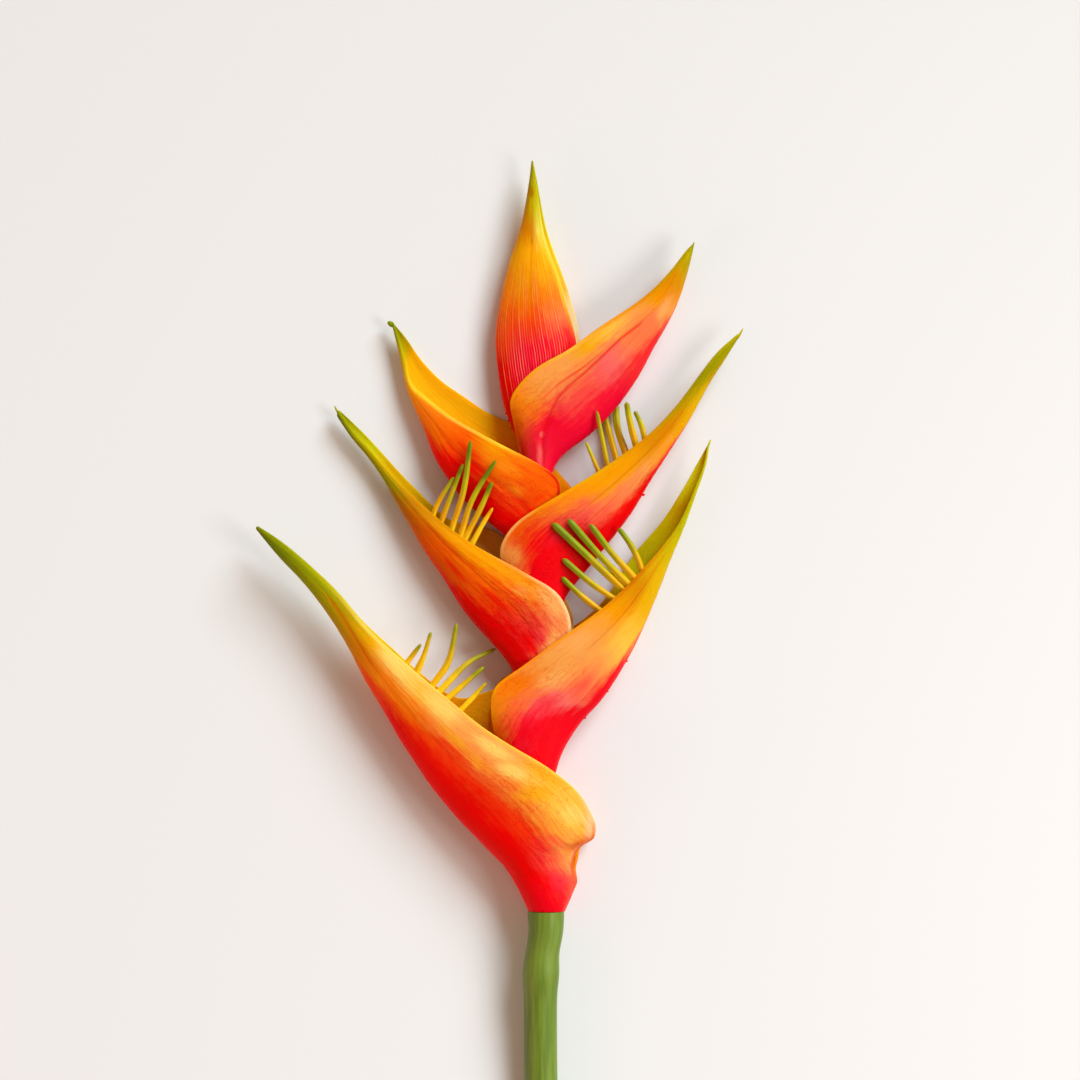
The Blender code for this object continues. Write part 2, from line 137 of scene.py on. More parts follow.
# Pigments, as eight-bit red, green and blue
BLOOD = (188, 0, 3)
DEEP_RED = (208, 0, 6)
SCARLET = (240, 0, 2)
POPPY = (248, 0, 3)
CRIMSON = (247, 2, 26)
RASPBERRY = (249, 34, 58)
CERISE = (248, 4, 48)
CHERRY = (250, 40, 46)
BRICK = (224, 56, 5)
VERMILION = (249, 64, 14)
CORAL = (252, 76, 66)
ROSE = (254, 102, 98)
SALMON = (254, 120, 70)
RUST = (205, 98, 2)
FLAME = (242, 88, 3)
TANGERINE = (246, 112, 6)
ORANGE = (252, 134, 20)
APRICOT = (254, 154, 72)
PEACH = (254, 170, 92)
SHELL = (254, 200, 146)
AMBER = (244, 150, 3)
TOBACCO = (178, 118, 2)
OCHRE = (214, 134, 2)
GOLD = (255, 186, 66)
SUN = (255, 206, 46)
BUTTER = (254, 206, 104)
SAFFRON = (248, 168, 8)
MUSTARD = (231, 165, 3)
BRASS = (211, 170, 4)
STRAW = (236, 212, 84)
KHAKI = (187, 178, 6)
LIME = (194, 194, 14)
OLIVE = (176, 150, 1)
MOSS = (148, 145, 4)
LEAF = (150, 159, 3)
GREEN = (122, 142, 4)
PINE = (104, 127, 6)
CREAM = (255, 226, 176)
MARIGOLD = (255, 168, 12)
YOLK = (255, 202, 14)
HONEY = (255, 188, 84)

# Tints that darken the skin, two of them painted shade in its dimples and wrinkles, and the colours of the stem, of its
# cut face and of the floor
STREAK = (244, 150, 110)
HAIR = (236, 190, 160)
DIMPLE_SHADE = (236, 140, 100)
WRINKLE_SHADE = (232, 96, 60)
SPECK = (150, 70, 30)
STEM_DARK = (94, 118, 30)
STEM_LIGHT = (116, 137, 44)
STEM_GRAIN = (84, 106, 30)
PITH = (206, 210, 150)
STRAND = (120, 132, 70)
PAPER = (228, 227, 226)

# Lights that shine from a disk: name, energy, colour, size, place and what it is aimed at, in metres
LAMPS = [
    ("fill", 4.0, (1.0, 0.97, 0.95), 0.5, (0.8, -0.15, 0.8), (0.1, 0.0, 0.0)),
    ("warm_wall", 6.0, (1.0, 0.55, 0.4), 1.2, (-1.3, -0.9, 0.45), (0.0, 0.0, 0.0)),
]
WINDOW_HEIGHT = radians(34.5)
WINDOW_SIDE = (0.6, 0.8)
WINDOW_ENERGY = 3.7
WINDOW_SOFTNESS = radians(31)
WINDOW_COLOUR = (0.79, 0.93, 1.0)
SURROUND_COLOUR = (1.0, 0.73, 0.55, 1.0)
SURROUND_STRENGTH = 0.39
FLOOR_SIDE = 20.0
CAMERA_DISTANCE = 2.0
SCALE_HEIGHT = 14 * MM


@dataclass
class Paint:
    """Dyes of one bract, placed in hundredths of its length, from the base, and of the way from keel to rim.

    The border is where the keel's dye ends, and the shoulder where the rim's dye starts. Dabs are a dye and its spots,
    each a place along, a place across, half its length, half its width and its strength. The fold is the dark line
    along the crease: its start, end, strength and dye."""

    keel: list
    cheek: list
    rim: list
    trough: list
    border: list
    shoulder: list
    edge: list
    dabs: list
    fold: tuple
    feather: float
    mottle: float
    lines: float = 0.0
    dimples: float = 0.15


@dataclass
class Bract:
    """One bract. A station is a keel point, a front rim point and, where it differs, a back rim point.

    The crease is a list of places along and across, in hundredths. The awn is the thin point at the tip: where it
    starts, where it ends and its radius. Bits are scraps on the keel: x, y and size. Where the solid has fewer
    stations, solid_stations says which."""

    belly: float
    tip_height: float
    stations: list
    paint: Paint
    crease: list
    crease_depth: float
    awn: tuple = ()
    bits: tuple = ()
    solid_stations: tuple = ()

    def line(self, which):
        return [station[min(which, len(station) - 1)] for station in self.stations]


@dataclass
class Florets:
    """Bunch of florets in a bract: the stretch of keel that its base lies along, its dyes from base to tip, and the
    florets, each with its radius at root and tip, how much greener than its bunch it is, and its points."""

    stretch: tuple
    dyes: list
    lines: list


BRACTS = [
    Bract(13.7, 17.0, [
        ((-7.3, 0.0), (8.2, 0.0)), ((-9.0, 4.0), (10.2, 4.4)), ((-10.9, 8.0), (12.0, 8.8)),
        ((-12.7, 11.4), (13.4, 12.6)), ((-14.5, 14.7), (11.8, 17.0), (12.5, 17.2)),
        ((-16.6, 17.6), (11.6, 20.4), (13.3, 21.0)), ((-18.5, 20.0), (12.6, 24.2), (14.1, 24.6)),
        ((-20.4, 21.9), (15.0, 27.6), (15.0, 27.2)), ((-22.1, 23.5), (18.4, 29.6)), ((-23.7, 25.2), (20.2, 31.2)),
        ((-26.4, 28.0), (20.8, 34.8)), ((-29.2, 31.1), (19.9, 39.6), (18.4, 39.5)),
        ((-35.5, 37.4), (13.2, 50.8), (11.5, 49.6)), ((-42.2, 44.9), (-0.2, 61.3), (-0.2, 61.3)),
        ((-48.5, 52.9), (-14.1, 69.3), (-15.0, 90.5)), ((-55.6, 63.8), (-27.5, 78.1), (-23.7, 92.0)),
        ((-61.5, 72.7), (-39.3, 87.8), (-37.2, 88.6)), ((-68.2, 84.8), (-52.7, 98.7), (-52.7, 99.5)),
        ((-75.8, 97.0), (-67.0, 111.3), (-67.0, 112.1)), ((-83.4, 111.7), (-77.5, 121.8)),
        ((-91.8, 125.6), (-86.7, 133.1)), ((-101.4, 137.8), (-98.5, 144.5)), ((-111.5, 148.3), (-109.8, 154.1)),
        ((-121.0, 159.8), (-120.1, 161.1)),
    ], Paint(
        keel=[(0, CRIMSON), (8, POPPY), (54, POPPY), (60, VERMILION), (66, FLAME), (70, OCHRE), (77, OLIVE),
              (86, MOSS), (92, GREEN), (100, PINE)],
        cheek=[(0, CRIMSON), (5, CHERRY), (12, CORAL), (17, VERMILION), (42, VERMILION), (52, TANGERINE),
               (61, ORANGE), (68, OCHRE), (76, OLIVE), (85, LEAF), (92, GREEN), (100, PINE)],
        rim=[(0, CORAL), (6, SALMON), (10, APRICOT), (17, GOLD), (25, GOLD), (35, APRICOT), (45, APRICOT), (54, GOLD),
             (61, BUTTER), (67, MUSTARD), (74, OLIVE), (81, LEAF), (93, GREEN), (100, PINE)],
        trough=[(50, MARIGOLD), (60, SUN), (70, BRASS), (85, LEAF), (100, GREEN)],
        border=[(0, 85), (5, 70), (10, 60), (15, 45), (20, 34), (42, 29), (50, 27), (56, 24), (62, 20), (69, 4)],
        shoulder=[(0, 110), (5, 95), (10, 78), (16, 62), (30, 60), (45, 58), (55, 62), (62, 68), (70, 60)],
        edge=[(0, CORAL), (10, VERMILION), (14, TANGERINE), (18, SHELL), (24, GOLD), (40, GOLD), (60, BUTTER),
              (70, STRAW), (82, KHAKI), (90, LEAF), (100, GREEN)],
        feather=0.25, mottle=0.15, fold=(60, 84, 70, RUST),
        dabs=[
            (BUTTER, [(31, 74, 3, 12, 90), (37, 86, 5, 12, 80), (19, 86, 2.5, 14, 80), (49, 86, 5, 20, 90),
                      (60, 85, 5, 25, 80)]),
            (MARIGOLD, [(25, 72, 2.5, 20, 90), (28, 93, 4.5, 10, 90), (42, 62, 6, 10, 70), (36, 60, 5, 10, 60)]),
            (SHELL, [(15, 97, 5, 7, 90)]),
            (FLAME, [(13, 92, 2, 14, 80)]),
            (RASPBERRY, [(6, 72, 3, 22, 70)]),
        ],
    ), crease=[(0, 50), (60, 36), (84, 60), (100, 50)], crease_depth=0.12,
       solid_stations=(0, 2, 4, 6, 9, *range(11, 24))),
    Bract(11.5, 12.0, [
        ((3.1, 40.3), (-6.5, 41.6)), ((3.1, 49.1), (-11.1, 51.2)), ((4.0, 58.0), (-16.6, 61.3)),
        ((6.5, 65.5), (-20.8, 72.7)), ((10.3, 72.2), (-22.7, 83.2)), ((15.8, 79.8), (-21.2, 94.1)),
        ((22.9, 87.6), (-9.9, 102.5)), ((30.9, 100.0), (6.1, 114.2), (5.8, 114.8)),
        ((39.7, 115.5), (25.0, 127.7), (24.0, 128.7)), ((47.2, 133.1), (39.7, 142.0), (35.5, 146.6)),
        ((52.7, 147.8), (48.1, 151.4), (41.8, 154.6)), ((58.2, 160.9), (56.1, 162.3), (50.0, 164.2)),
        ((63.6, 176.0), (62.6, 176.8), (59.0, 178.5)), ((67.4, 186.9), (66.6, 187.3), (64.3, 188.2)),
        ((68.9, 195.3), (68.2, 195.5)),
    ], Paint(
        keel=[(38, CRIMSON), (46, CHERRY), (52, CORAL), (58, AMBER), (62, MUSTARD), (70, BRASS), (78, LIME),
              (90, LIME), (100, KHAKI)],
        cheek=[(0, SCARLET), (16, CRIMSON), (23, RASPBERRY), (29, ROSE), (36, SALMON), (43, APRICOT), (50, GOLD),
               (60, MUSTARD), (70, BRASS), (79, KHAKI), (90, LIME), (100, KHAKI)],
        rim=[(0, CORAL), (10, BRICK), (16, TANGERINE), (23, ORANGE), (30, TANGERINE), (37, APRICOT), (46, APRICOT),
             (54, AMBER), (62, OCHRE), (70, BRASS), (78, KHAKI), (88, LIME), (100, KHAKI)],
        trough=[(36, TANGERINE), (48, AMBER), (54, BRASS), (62, LIME), (76, KHAKI), (84, OLIVE), (90, LIME),
                (100, KHAKI)],
        border=[(0, 90), (14, 80), (20, 62), (25, 34), (30, 17), (40, 12), (48, 7), (56, 2)],
        shoulder=[(0, 95), (16, 86), (22, 78), (28, 62), (36, 50), (50, 45)],
        edge=[(0, BRICK), (12, FLAME), (20, AMBER), (28, AMBER), (35, ORANGE), (50, AMBER), (62, RUST), (70, OCHRE),
              (80, KHAKI), (100, LIME)],
        feather=0.5, mottle=0.25, fold=(40, 75, 45, RUST),
        dabs=[
            (PEACH, [(33, 62, 4, 20, 70), (44, 80, 5, 20, 60)]),
            (RASPBERRY, [(27, 45, 5, 14, 70), (36, 30, 6, 10, 60), (16, 55, 3, 30, 50)]),
        ],
    ), crease=[(0, 60)], crease_depth=0.15, awn=((68.5, 195.6), (69.6, 198.2), 0.45),
       bits=[(34.2, 104.2, 0.7), (17.0, 80.4, 0.6), (26.0, 91.6, 0.5)]),
    Bract(11.2, 6.5, [
        ((-9.0, 81.9), (-0.2, 83.6)), ((-11.5, 91.1), (3.1, 92.8)), ((-13.8, 100.5), (6.9, 103.7)),
        ((-18.3, 107.3), (10.3, 113.8), (11.1, 113.8)), ((-23.7, 113.6), (10.1, 123.5), (11.5, 124.3)),
        ((-30.0, 121.0), (4.8, 133.6), (5.7, 134.8)), ((-36.8, 130.0), (-6.1, 140.3), (-6.1, 141.3)),
        ((-43.9, 140.7), (-18.3, 147.0), (-16.6, 156.2)), ((-50.6, 150.8), (-30.4, 153.7), (-27.5, 161.3)),
        ((-56.5, 160.9), (-42.2, 162.1), (-40.5, 163.8)), ((-62.4, 170.5), (-54.8, 173.0), (-53.1, 175.3)),
        ((-68.7, 182.1), (-65.3, 182.9), (-62.4, 184.8)), ((-75.8, 191.9), (-74.1, 193.6), (-71.6, 195.1)),
        ((-82.1, 199.3), (-80.6, 200.5), (-79.4, 203.1)), ((-87.6, 207.5), (-86.7, 209.6), (-86.7, 210.0)),
    ], Paint(
        keel=[(40, SCARLET), (48, VERMILION), (57, FLAME), (66, OCHRE), (72, OLIVE), (79, MOSS), (86, MOSS),
              (92, GREEN), (100, PINE)],
        cheek=[(10, SCARLET), (22, CHERRY), (32, VERMILION), (40, FLAME), (54, FLAME), (62, RUST), (70, TOBACCO),
               (78, MOSS), (86, MOSS), (93, GREEN), (100, PINE)],
        rim=[(0, CORAL), (12, SALMON), (17, PEACH), (24, SALMON), (32, ORANGE), (46, AMBER), (55, AMBER), (62, OCHRE),
             (70, TOBACCO), (76, MOSS), (85, LEAF), (91, GREEN), (100, PINE)],
        trough=[(42, HONEY), (55, SAFFRON), (68, BRASS), (80, BRASS), (88, LIME), (100, GREEN)],
        border=[(0, 60), (16, 42), (23, 40), (30, 28), (38, 15), (46, 8), (56, 2)],
        shoulder=[(0, 80), (16, 58), (22, 68), (30, 66), (40, 60)],
        edge=[(0, CORAL), (12, PEACH), (17, SHELL), (30, SHELL), (40, APRICOT), (50, AMBER), (60, OCHRE), (70, OCHRE),
              (80, OLIVE), (100, LEAF)],
        feather=0.6, mottle=0.35, fold=(32, 66, 60, BRICK), dimples=1.0,
        dabs=[
            (PEACH, [(28, 92, 6, 14, 100), (34, 74, 4, 14, 50), (19, 78, 2, 14, 70)]),
            (SCARLET, [(20, 45, 4, 12, 80), (34, 40, 7, 6, 90), (25, 62, 4, 5, 60), (46, 26, 6, 6, 80)]),
            (RASPBERRY, [(20, 60, 3, 12, 70)]),
        ],
    ), crease=[(0, 50)], crease_depth=0.2, awn=((-87.3, 209.2), (-89.0, 212.4), 0.5)),
    Bract(10.1, 11.0, [
        ((4.4, 113.8), (-4.0, 116.3)), ((5.7, 122.2), (-9.0, 125.6)), ((8.1, 130.9), (-15.3, 136.5)),
        ((11.8, 136.1), (-18.9, 147.8)), ((16.8, 142.6), (-17.8, 155.4)), ((23.1, 150.2), (-11.1, 164.0)),
        ((30.9, 160.4), (4.0, 173.2)), ((38.9, 171.4), (19.9, 182.9)), ((46.4, 184.0), (35.5, 193.6)),
        ((53.1, 194.7), (45.6, 201.6)), ((60.7, 206.4), (55.2, 211.9)), ((68.2, 220.5), (64.0, 223.7)),
        ((75.4, 231.6), (72.0, 234.1)), ((81.5, 241.3), (80.4, 241.9)),
    ], Paint(
        keel=[(0, CRIMSON), (50, SCARLET), (58, SCARLET), (64, CHERRY), (70, CORAL), (77, OCHRE), (86, BRASS),
              (93, OLIVE), (100, LEAF)],
        cheek=[(20, SCARLET), (28, CRIMSON), (36, CORAL), (44, SALMON), (50, SALMON), (57, APRICOT), (65, AMBER),
               (75, MUSTARD), (83, BRASS), (89, OLIVE), (100, LEAF)],
        rim=[(0, CORAL), (10, ORANGE), (17, APRICOT), (24, FLAME), (31, TANGERINE), (39, ORANGE), (47, AMBER),
             (55, AMBER), (63, OCHRE), (70, OCHRE), (78, OLIVE), (86, MOSS), (100, LEAF)],
        trough=[(0, ORANGE), (30, MARIGOLD), (60, OCHRE), (80, OLIVE), (100, GREEN)],
        border=[(0, 70), (16, 64), (24, 56), (30, 48), (38, 28), (46, 20), (54, 16), (62, 12), (70, 7), (76, 0)],
        shoulder=[(0, 85), (16, 72), (24, 80), (32, 78), (40, 70), (47, 50), (60, 42)],
        edge=[(0, CORAL), (12, APRICOT), (18, PEACH), (26, PEACH), (34, AMBER), (50, MUSTARD), (62, OCHRE),
              (72, OLIVE), (85, MOSS), (100, KHAKI)],
        feather=0.5, mottle=0.25, fold=(36, 80, 45, RUST),
        dabs=[
            (APRICOT, [(19, 85, 3, 14, 90), (52, 40, 5, 12, 60), (66, 30, 5, 14, 60)]),
            (RASPBERRY, [(30, 50, 6, 12, 60), (42, 35, 5, 8, 50)]),
        ],
    ), crease=[(0, 60)], crease_depth=0.15, awn=((81.6, 241.9), (83.2, 244.9), 0.45), bits=[(41.2, 174.0, 1.3)]),
    Bract(9.4, 6.0, [
        ((-12.4, 139.0), (-4.4, 140.7)), ((-14.5, 148.3), (-0.2, 149.1)), ((-17.0, 157.5), (3.1, 162.5)),
        ((-21.2, 161.1), (5.7, 173.5), (11.1, 175.1)), ((-26.7, 165.5), (5.0, 181.4), (8.2, 181.0)),
        ((-33.4, 171.8), (-3.6, 187.7), (1.1, 188.6)), ((-40.1, 180.2), (-16.6, 194.5), (-10.3, 202.4)),
        ((-46.0, 189.0), (-29.6, 201.4), (-24.6, 209.4)), ((-50.6, 201.4), (-40.1, 207.6), (-34.6, 216.1)),
        ((-54.8, 210.4), (-50.6, 215.9), (-44.3, 222.8)), ((-58.6, 220.1), (-56.9, 221.8), (-52.7, 231.6)),
        ((-61.1, 231.8), (-59.4, 232.5), (-58.0, 239.4)), ((-63.6, 242.1), (-62.6, 242.8), (-61.7, 244.0)),
        ((-64.8, 246.7), (-64.2, 247.1)),
    ], Paint(
        keel=[(40, SCARLET), (56, POPPY), (62, VERMILION), (70, TANGERINE), (77, MARIGOLD), (86, BRASS), (91, MOSS),
              (100, PINE)],
        cheek=[(20, SCARLET), (30, VERMILION), (38, TANGERINE), (46, VERMILION), (56, FLAME), (63, TANGERINE),
               (70, ORANGE), (78, SAFFRON), (86, BRASS), (92, OLIVE), (100, PINE)],
        rim=[(0, CORAL), (15, FLAME), (30, FLAME), (38, TANGERINE), (46, AMBER), (54, FLAME), (62, TANGERINE),
             (70, ORANGE), (78, SAFFRON), (86, BRASS), (92, OLIVE), (100, PINE)],
        trough=[(0, FLAME), (20, TANGERINE), (32, MARIGOLD), (45, SAFFRON), (75, SAFFRON), (83, MUSTARD), (88, OLIVE),
                (94, MOSS), (100, PINE)],
        border=[(0, 50), (22, 30), (30, 30), (38, 42), (46, 44), (54, 30), (62, 10), (70, 0)],
        shoulder=[(0, 70), (30, 55), (46, 70), (60, 60)],
        edge=[(0, BLOOD), (29, DEEP_RED), (33, FLAME), (38, ORANGE), (45, SUN), (60, GOLD), (70, SUN), (80, SUN),
              (88, LIME), (100, GREEN)],
        feather=0.45, mottle=0.3, fold=(36, 60, 50, SCARLET),
        dabs=[
            (ORANGE, [(30, 55, 4, 12, 70), (39, 72, 5, 10, 80)]),
            (SCARLET, [(24, 72, 2, 18, 60), (35, 84, 7, 5, 50), (50, 60, 6, 10, 70), (44, 44, 6, 12, 80)]),
        ],
    ), crease=[(0, 50), (40, 46), (60, 40)], crease_depth=0.2, awn=((-64.8, 246.6), (-66.5, 247.9), 1.15)),
    Bract(9.3, 11.0, [
        ((1.5, 167.6), (-5.2, 169.3)), ((1.5, 176.4), (-8.2, 178.9)), ((3.4, 185.2), (-10.9, 192.8)),
        ((6.5, 190.3), (-13.7, 206.2)), ((11.5, 194.9), (-14.8, 213.8)), ((17.8, 199.7), (-10.9, 220.7)),
        ((25.0, 206.6), (-2.3, 228.7)), ((32.1, 214.0), (9.4, 235.2)), ((38.9, 224.1), (21.6, 244.0)),
        ((45.1, 236.0), (33.4, 251.8)), ((51.0, 246.1), (43.9, 259.6)), ((56.5, 257.9), (52.3, 268.2)),
        ((60.7, 271.7), (58.8, 276.6)), ((62.6, 280.3), (61.9, 280.1)),
    ], Paint(
        keel=[(50, CERISE), (60, CHERRY), (70, CHERRY), (78, CORAL), (86, AMBER), (93, OLIVE), (100, LEAF)],
        cheek=[(0, SCARLET), (12, RASPBERRY), (30, CERISE), (38, CORAL), (46, CORAL), (54, ROSE), (65, SALMON),
               (74, SALMON), (80, APRICOT), (86, OCHRE), (93, OLIVE), (100, LEAF)],
        rim=[(0, SCARLET), (16, BRICK), (23, TANGERINE), (30, ORANGE), (38, APRICOT), (46, APRICOT), (54, SAFFRON),
             (62, GOLD), (70, APRICOT), (78, AMBER), (86, OCHRE), (93, OLIVE), (100, KHAKI)],
        trough=[(0, TANGERINE), (40, SAFFRON), (80, OCHRE), (100, GREEN)],
        border=[(0, 30), (16, 16), (22, 20), (30, 34), (38, 28), (46, 30), (54, 28), (62, 26), (72, 16), (80, 3)],
        shoulder=[(0, 110), (14, 80), (22, 68), (30, 62), (40, 62), (50, 66), (60, 72), (70, 70), (80, 50)],
        edge=[(14, ROSE), (20, TANGERINE), (26, AMBER), (36, AMBER), (50, GOLD), (62, AMBER), (75, OCHRE),
              (86, OLIVE), (100, MOSS)],
        feather=0.4, mottle=0.25, fold=(16, 74, 70, CRIMSON),
        dabs=[
            (PEACH, [(78, 36, 4, 16, 90), (62, 38, 6, 10, 30)]),
            (CRIMSON, [(27, 46, 5, 8, 70), (46, 69, 14, 2, 80)]),
            # Painted highlight: a pink sheen near the base
            (ROSE, [(17, 42, 5, 10, 80), (24, 44, 1.2, 4, 100)]),
        ],
    ), crease=[(10, 26), (23, 40), (36, 57), (50, 63), (62, 64), (80, 50)], crease_depth=0.45),
    Bract(6.9, 10.0, [
        ((-8.6, 187.5), (-0.2, 188.5)), ((-11.2, 195.5), (4.4, 202.0)), ((-14.4, 203.4), (10.3, 215.5)),
        ((-17.6, 213.8), (12.4, 228.1), (14.5, 228.1)), ((-19.9, 225.5), (12.8, 238.6), (14.5, 238.6)),
        ((-21.0, 237.3), (10.9, 246.5), (13.3, 247.4)), ((-20.2, 249.9), (7.8, 257.0), (10.2, 257.5)),
        ((-17.8, 262.5), (4.6, 268.4), (7.3, 266.7)), ((-14.5, 274.5), (1.5, 276.6), (3.8, 275.9)),
        ((-10.9, 286.0), (-1.3, 285.6), (0.4, 285.8)), ((-8.4, 297.4), (-2.9, 296.5), (-2.1, 296.9)),
        ((-6.7, 307.9), (-4.4, 307.4), (-4.0, 307.9)), ((-6.0, 314.4), (-5.2, 314.4)),
    ], Paint(
        keel=[(36, SCARLET), (43, VERMILION), (51, FLAME), (59, ORANGE), (70, MUSTARD), (78, OCHRE), (86, OLIVE),
              (93, MOSS), (100, LEAF)],
        cheek=[(0, DEEP_RED), (30, CERISE), (39, CERISE), (47, VERMILION), (54, TANGERINE), (62, AMBER),
               (70, SAFFRON), (78, OCHRE), (86, BRASS), (93, KHAKI), (100, LEAF)],
        rim=[(0, SCARLET), (30, CRIMSON), (39, CHERRY), (46, SALMON), (54, ORANGE), (62, SAFFRON), (70, SAFFRON),
             (78, STRAW), (86, LIME), (93, KHAKI), (100, LEAF)],
        trough=[(0, FLAME), (30, PEACH), (42, CREAM), (55, GOLD), (70, SUN), (85, LIME), (100, LEAF)],
        border=[(60, 20), (80, 30)],
        shoulder=[(0, 80), (50, 72), (80, 66), (100, 60)],
        edge=[(0, CRIMSON), (36, CHERRY), (44, ORANGE), (50, GOLD), (60, SUN), (75, STRAW), (90, KHAKI), (100, LEAF)],
        feather=0.3, mottle=0.15, fold=(40, 50, 0, BRICK), lines=1.0,
        dabs=[
            (SUN, [(72, 90, 10, 14, 70)]),
            (TOBACCO, [(90.5, 42, 2, 30, 130), (74, 55, 2, 5, 70)]),
        ],
    ), crease=[(0, 50)], crease_depth=0.1, bits=[(-17.6, 208.6, 0.6), (-17.0, 205.6, 0.7), (-15.4, 202.4, 0.5)]),
]

FLORETS = [
    Florets((0.53, 0.68), [YOLK, YOLK, BRASS, MOSS], [
        ((1.5, 0.7, 0.0), [(-58.2, 104.2, 17.0), (-52.1, 112.3, 19.5)]),
        ((1.6, 0.7, 0.0), [(-54.0, 100.4, 17.5), (-50.6, 108.4, 19.5), (-48.0, 117.3, 20.0)]),
        ((1.7, 0.95, 0.05), [(-47.2, 95.1, 16.5), (-40.5, 105.4, 18.5), (-37.2, 121.1, 19.0)]),
        ((1.75, 0.7, 0.2), [(-44.3, 92.4, 15.0), (-33.1, 103.7, 12.0), (-21.0, 110.1, 6.5)]),
        ((1.6, 0.85, 0.05), [(-40.5, 89.9, 16.0), (-25.8, 102.6, 14.5)]),
        ((1.6, 0.8, -0.1), [(-35.2, 84.8, 15.5), (-24.8, 95.8, 14.5)]),
    ]),
    Florets((0.48, 0.64), [MUSTARD, BRASS, LEAF, GREEN], [
        ((1.4, 1.2, -0.05), [(22.9, 126.1, 14.0), (14.8, 132.6, 15.0), (6.7, 140.2, 16.5)]),
        ((1.4, 1.25, 0.0), [(29.5, 130.6, 14.5), (18.6, 138.2, 17.0), (7.1, 148.0, 18.5)]),
        ((1.6, 1.6, 0.1), [(32.8, 134.9, 14.5), (17.0, 149.7, 18.5), (2.9, 163.0, 20.5)]),
        ((1.65, 1.35, 0.1), [(34.6, 137.3, 15.0), (21.9, 150.2, 18.5), (9.4, 164.6, 20.5)]),
        ((1.6, 1.2, 0.0), [(37.4, 139.7, 14.8), (27.9, 150.2, 17.5), (18.6, 162.5, 20.0)]),
        ((1.4, 1.15, 0.0), [(40.1, 144.1, 14.2), (36.2, 153.0, 16.0), (30.7, 160.7, 17.0)]),
    ]),
    Florets((0.46, 0.60), [YOLK, MUSTARD, KHAKI, PINE], [
        ((1.4, 0.8, -0.1), [(-46.9, 167.6, 10.5), (-38.4, 182.3, 15.5)]),
        ((1.5, 0.8, 0.0), [(-43.3, 165.1, 11.5), (-34.6, 187.7, 18.0)]),
        ((1.5, 1.0, 0.05), [(-39.1, 161.3, 12.5), (-34.2, 177.4, 16.5), (-31.4, 197.6, 19.5)]),
        ((1.5, 0.9, 0.08), [(-35.5, 158.3, 13.5), (-30.6, 173.0, 17.0), (-20.8, 189.3, 20.0)]),
        ((1.45, 0.9, 0.03), [(-33.3, 157.3, 14.0), (-27.1, 169.4, 17.0), (-22.3, 180.3, 18.5)]),
        ((1.35, 0.7, -0.4), [(-30.0, 155.8, 14.0), (-26.2, 162.7, 15.5), (-22.1, 169.3, 17.0)]),
    ]),
    Florets((0.46, 0.64), [MUSTARD, BRASS, KHAKI, MOSS], [
        ((1.25, 0.6, -0.1), [(22.3, 184.6, 12.5), (17.0, 197.0, 13.0)]),
        ((1.35, 0.75, 0.0), [(26.0, 187.7, 12.0), (21.5, 210.0, 15.5)]),
        ((1.45, 1.2, 0.0), [(29.8, 190.0, 8.0), (25.9, 205.0, 3.6), (25.3, 207.6, 2.6)]),
        ((1.5, 1.5, 0.0), [(33.6, 192.9, 8.0), (30.4, 203.0, 5.0), (29.6, 213.4, 2.8)]),
        ((1.5, 1.2, 0.0), [(38.0, 195.6, 11.5), (35.4, 205.8, 12.5), (34.0, 213.8, 13.0)]),
        ((1.4, 0.9, 0.05), [(41.8, 198.2, 11.5), (40.1, 204.5, 12.0), (37.5, 210.0, 12.5)]),
    ]),
]


# Where the drawing's zero lies in the row frame, in metres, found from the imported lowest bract
bract_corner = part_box("bract_1")[0]
ZERO = np.array([bract_corner.x - LOWEST_TIP_X * MM, bract_corner.y, 0.0])


# Lines and numbers


def evenly(count):
    return np.linspace(0.0, 1.0, count)


def smooth_step(value):
    """Eases from 0 to 1 as value goes from 0 to 1."""
    value = np.clip(value, 0.0, 1.0)
    return value * value * (3 - 2 * value)


def rise(value, start, end):
    """Eases from 0 to 1 as value goes from start to end."""
    return smooth_step((value - start) / (end - start))


def bump(value, centre, width):
    return np.exp(-(((value - centre) / width) ** 2))


def unit(vectors):
    """The same directions, each one long."""
    return vectors / np.maximum(np.linalg.norm(vectors, axis=-1, keepdims=True), 1e-9)


def read(table, places):
    """Reads a table of places and values in hundredths, straight between its rows, at places from 0 to 1."""
    return np.interp(places * 100, *np.transpose(table)) / 100


def smooth_curve(points, places):
    """Reads a smooth curve through the points at places from 0 to 1, counted evenly from point to point."""
    points = np.asarray(points, float)
    padded = np.vstack([2 * points[0] - points[1], points, 2 * points[-1] - points[-2]])
    position = np.asarray(places, float) * (len(points) - 1)
    index = np.minimum(position.astype(int), len(points) - 2)
    part = (position - index)[:, None]
    before, start, end, after = (padded[index + step] for step in range(4))
    bend = 2 * before - 5 * start + 4 * end - after
    twist = 3 * start - before - 3 * end + after
    return 0.5 * (2 * start + (end - before) * part + bend * part**2 + twist * part**3)


def soft_curve(points, places, softness=0.3, steps=40):
    """The same curve with its curvature evened out over a part of the spacing of the points."""
    count = (len(points) - 1) * steps
    fine = smooth_curve(points, evenly(count + 1))
    weights = bump(np.arange(-steps, steps + 1) / steps, 0.0, softness)
    weights /= weights.sum()
    before = 2 * fine[0] - fine[steps:0:-1]
    after = 2 * fine[-1] - fine[-2:-steps - 2:-1]
    padded = np.vstack([before, fine, after])
    softened = [np.convolve(padded[:, axis], weights, "valid") for axis in range(padded.shape[1])]
    read_at = np.asarray(places, float) * count
    return np.column_stack([np.interp(read_at, np.arange(count + 1), line) for line in softened])


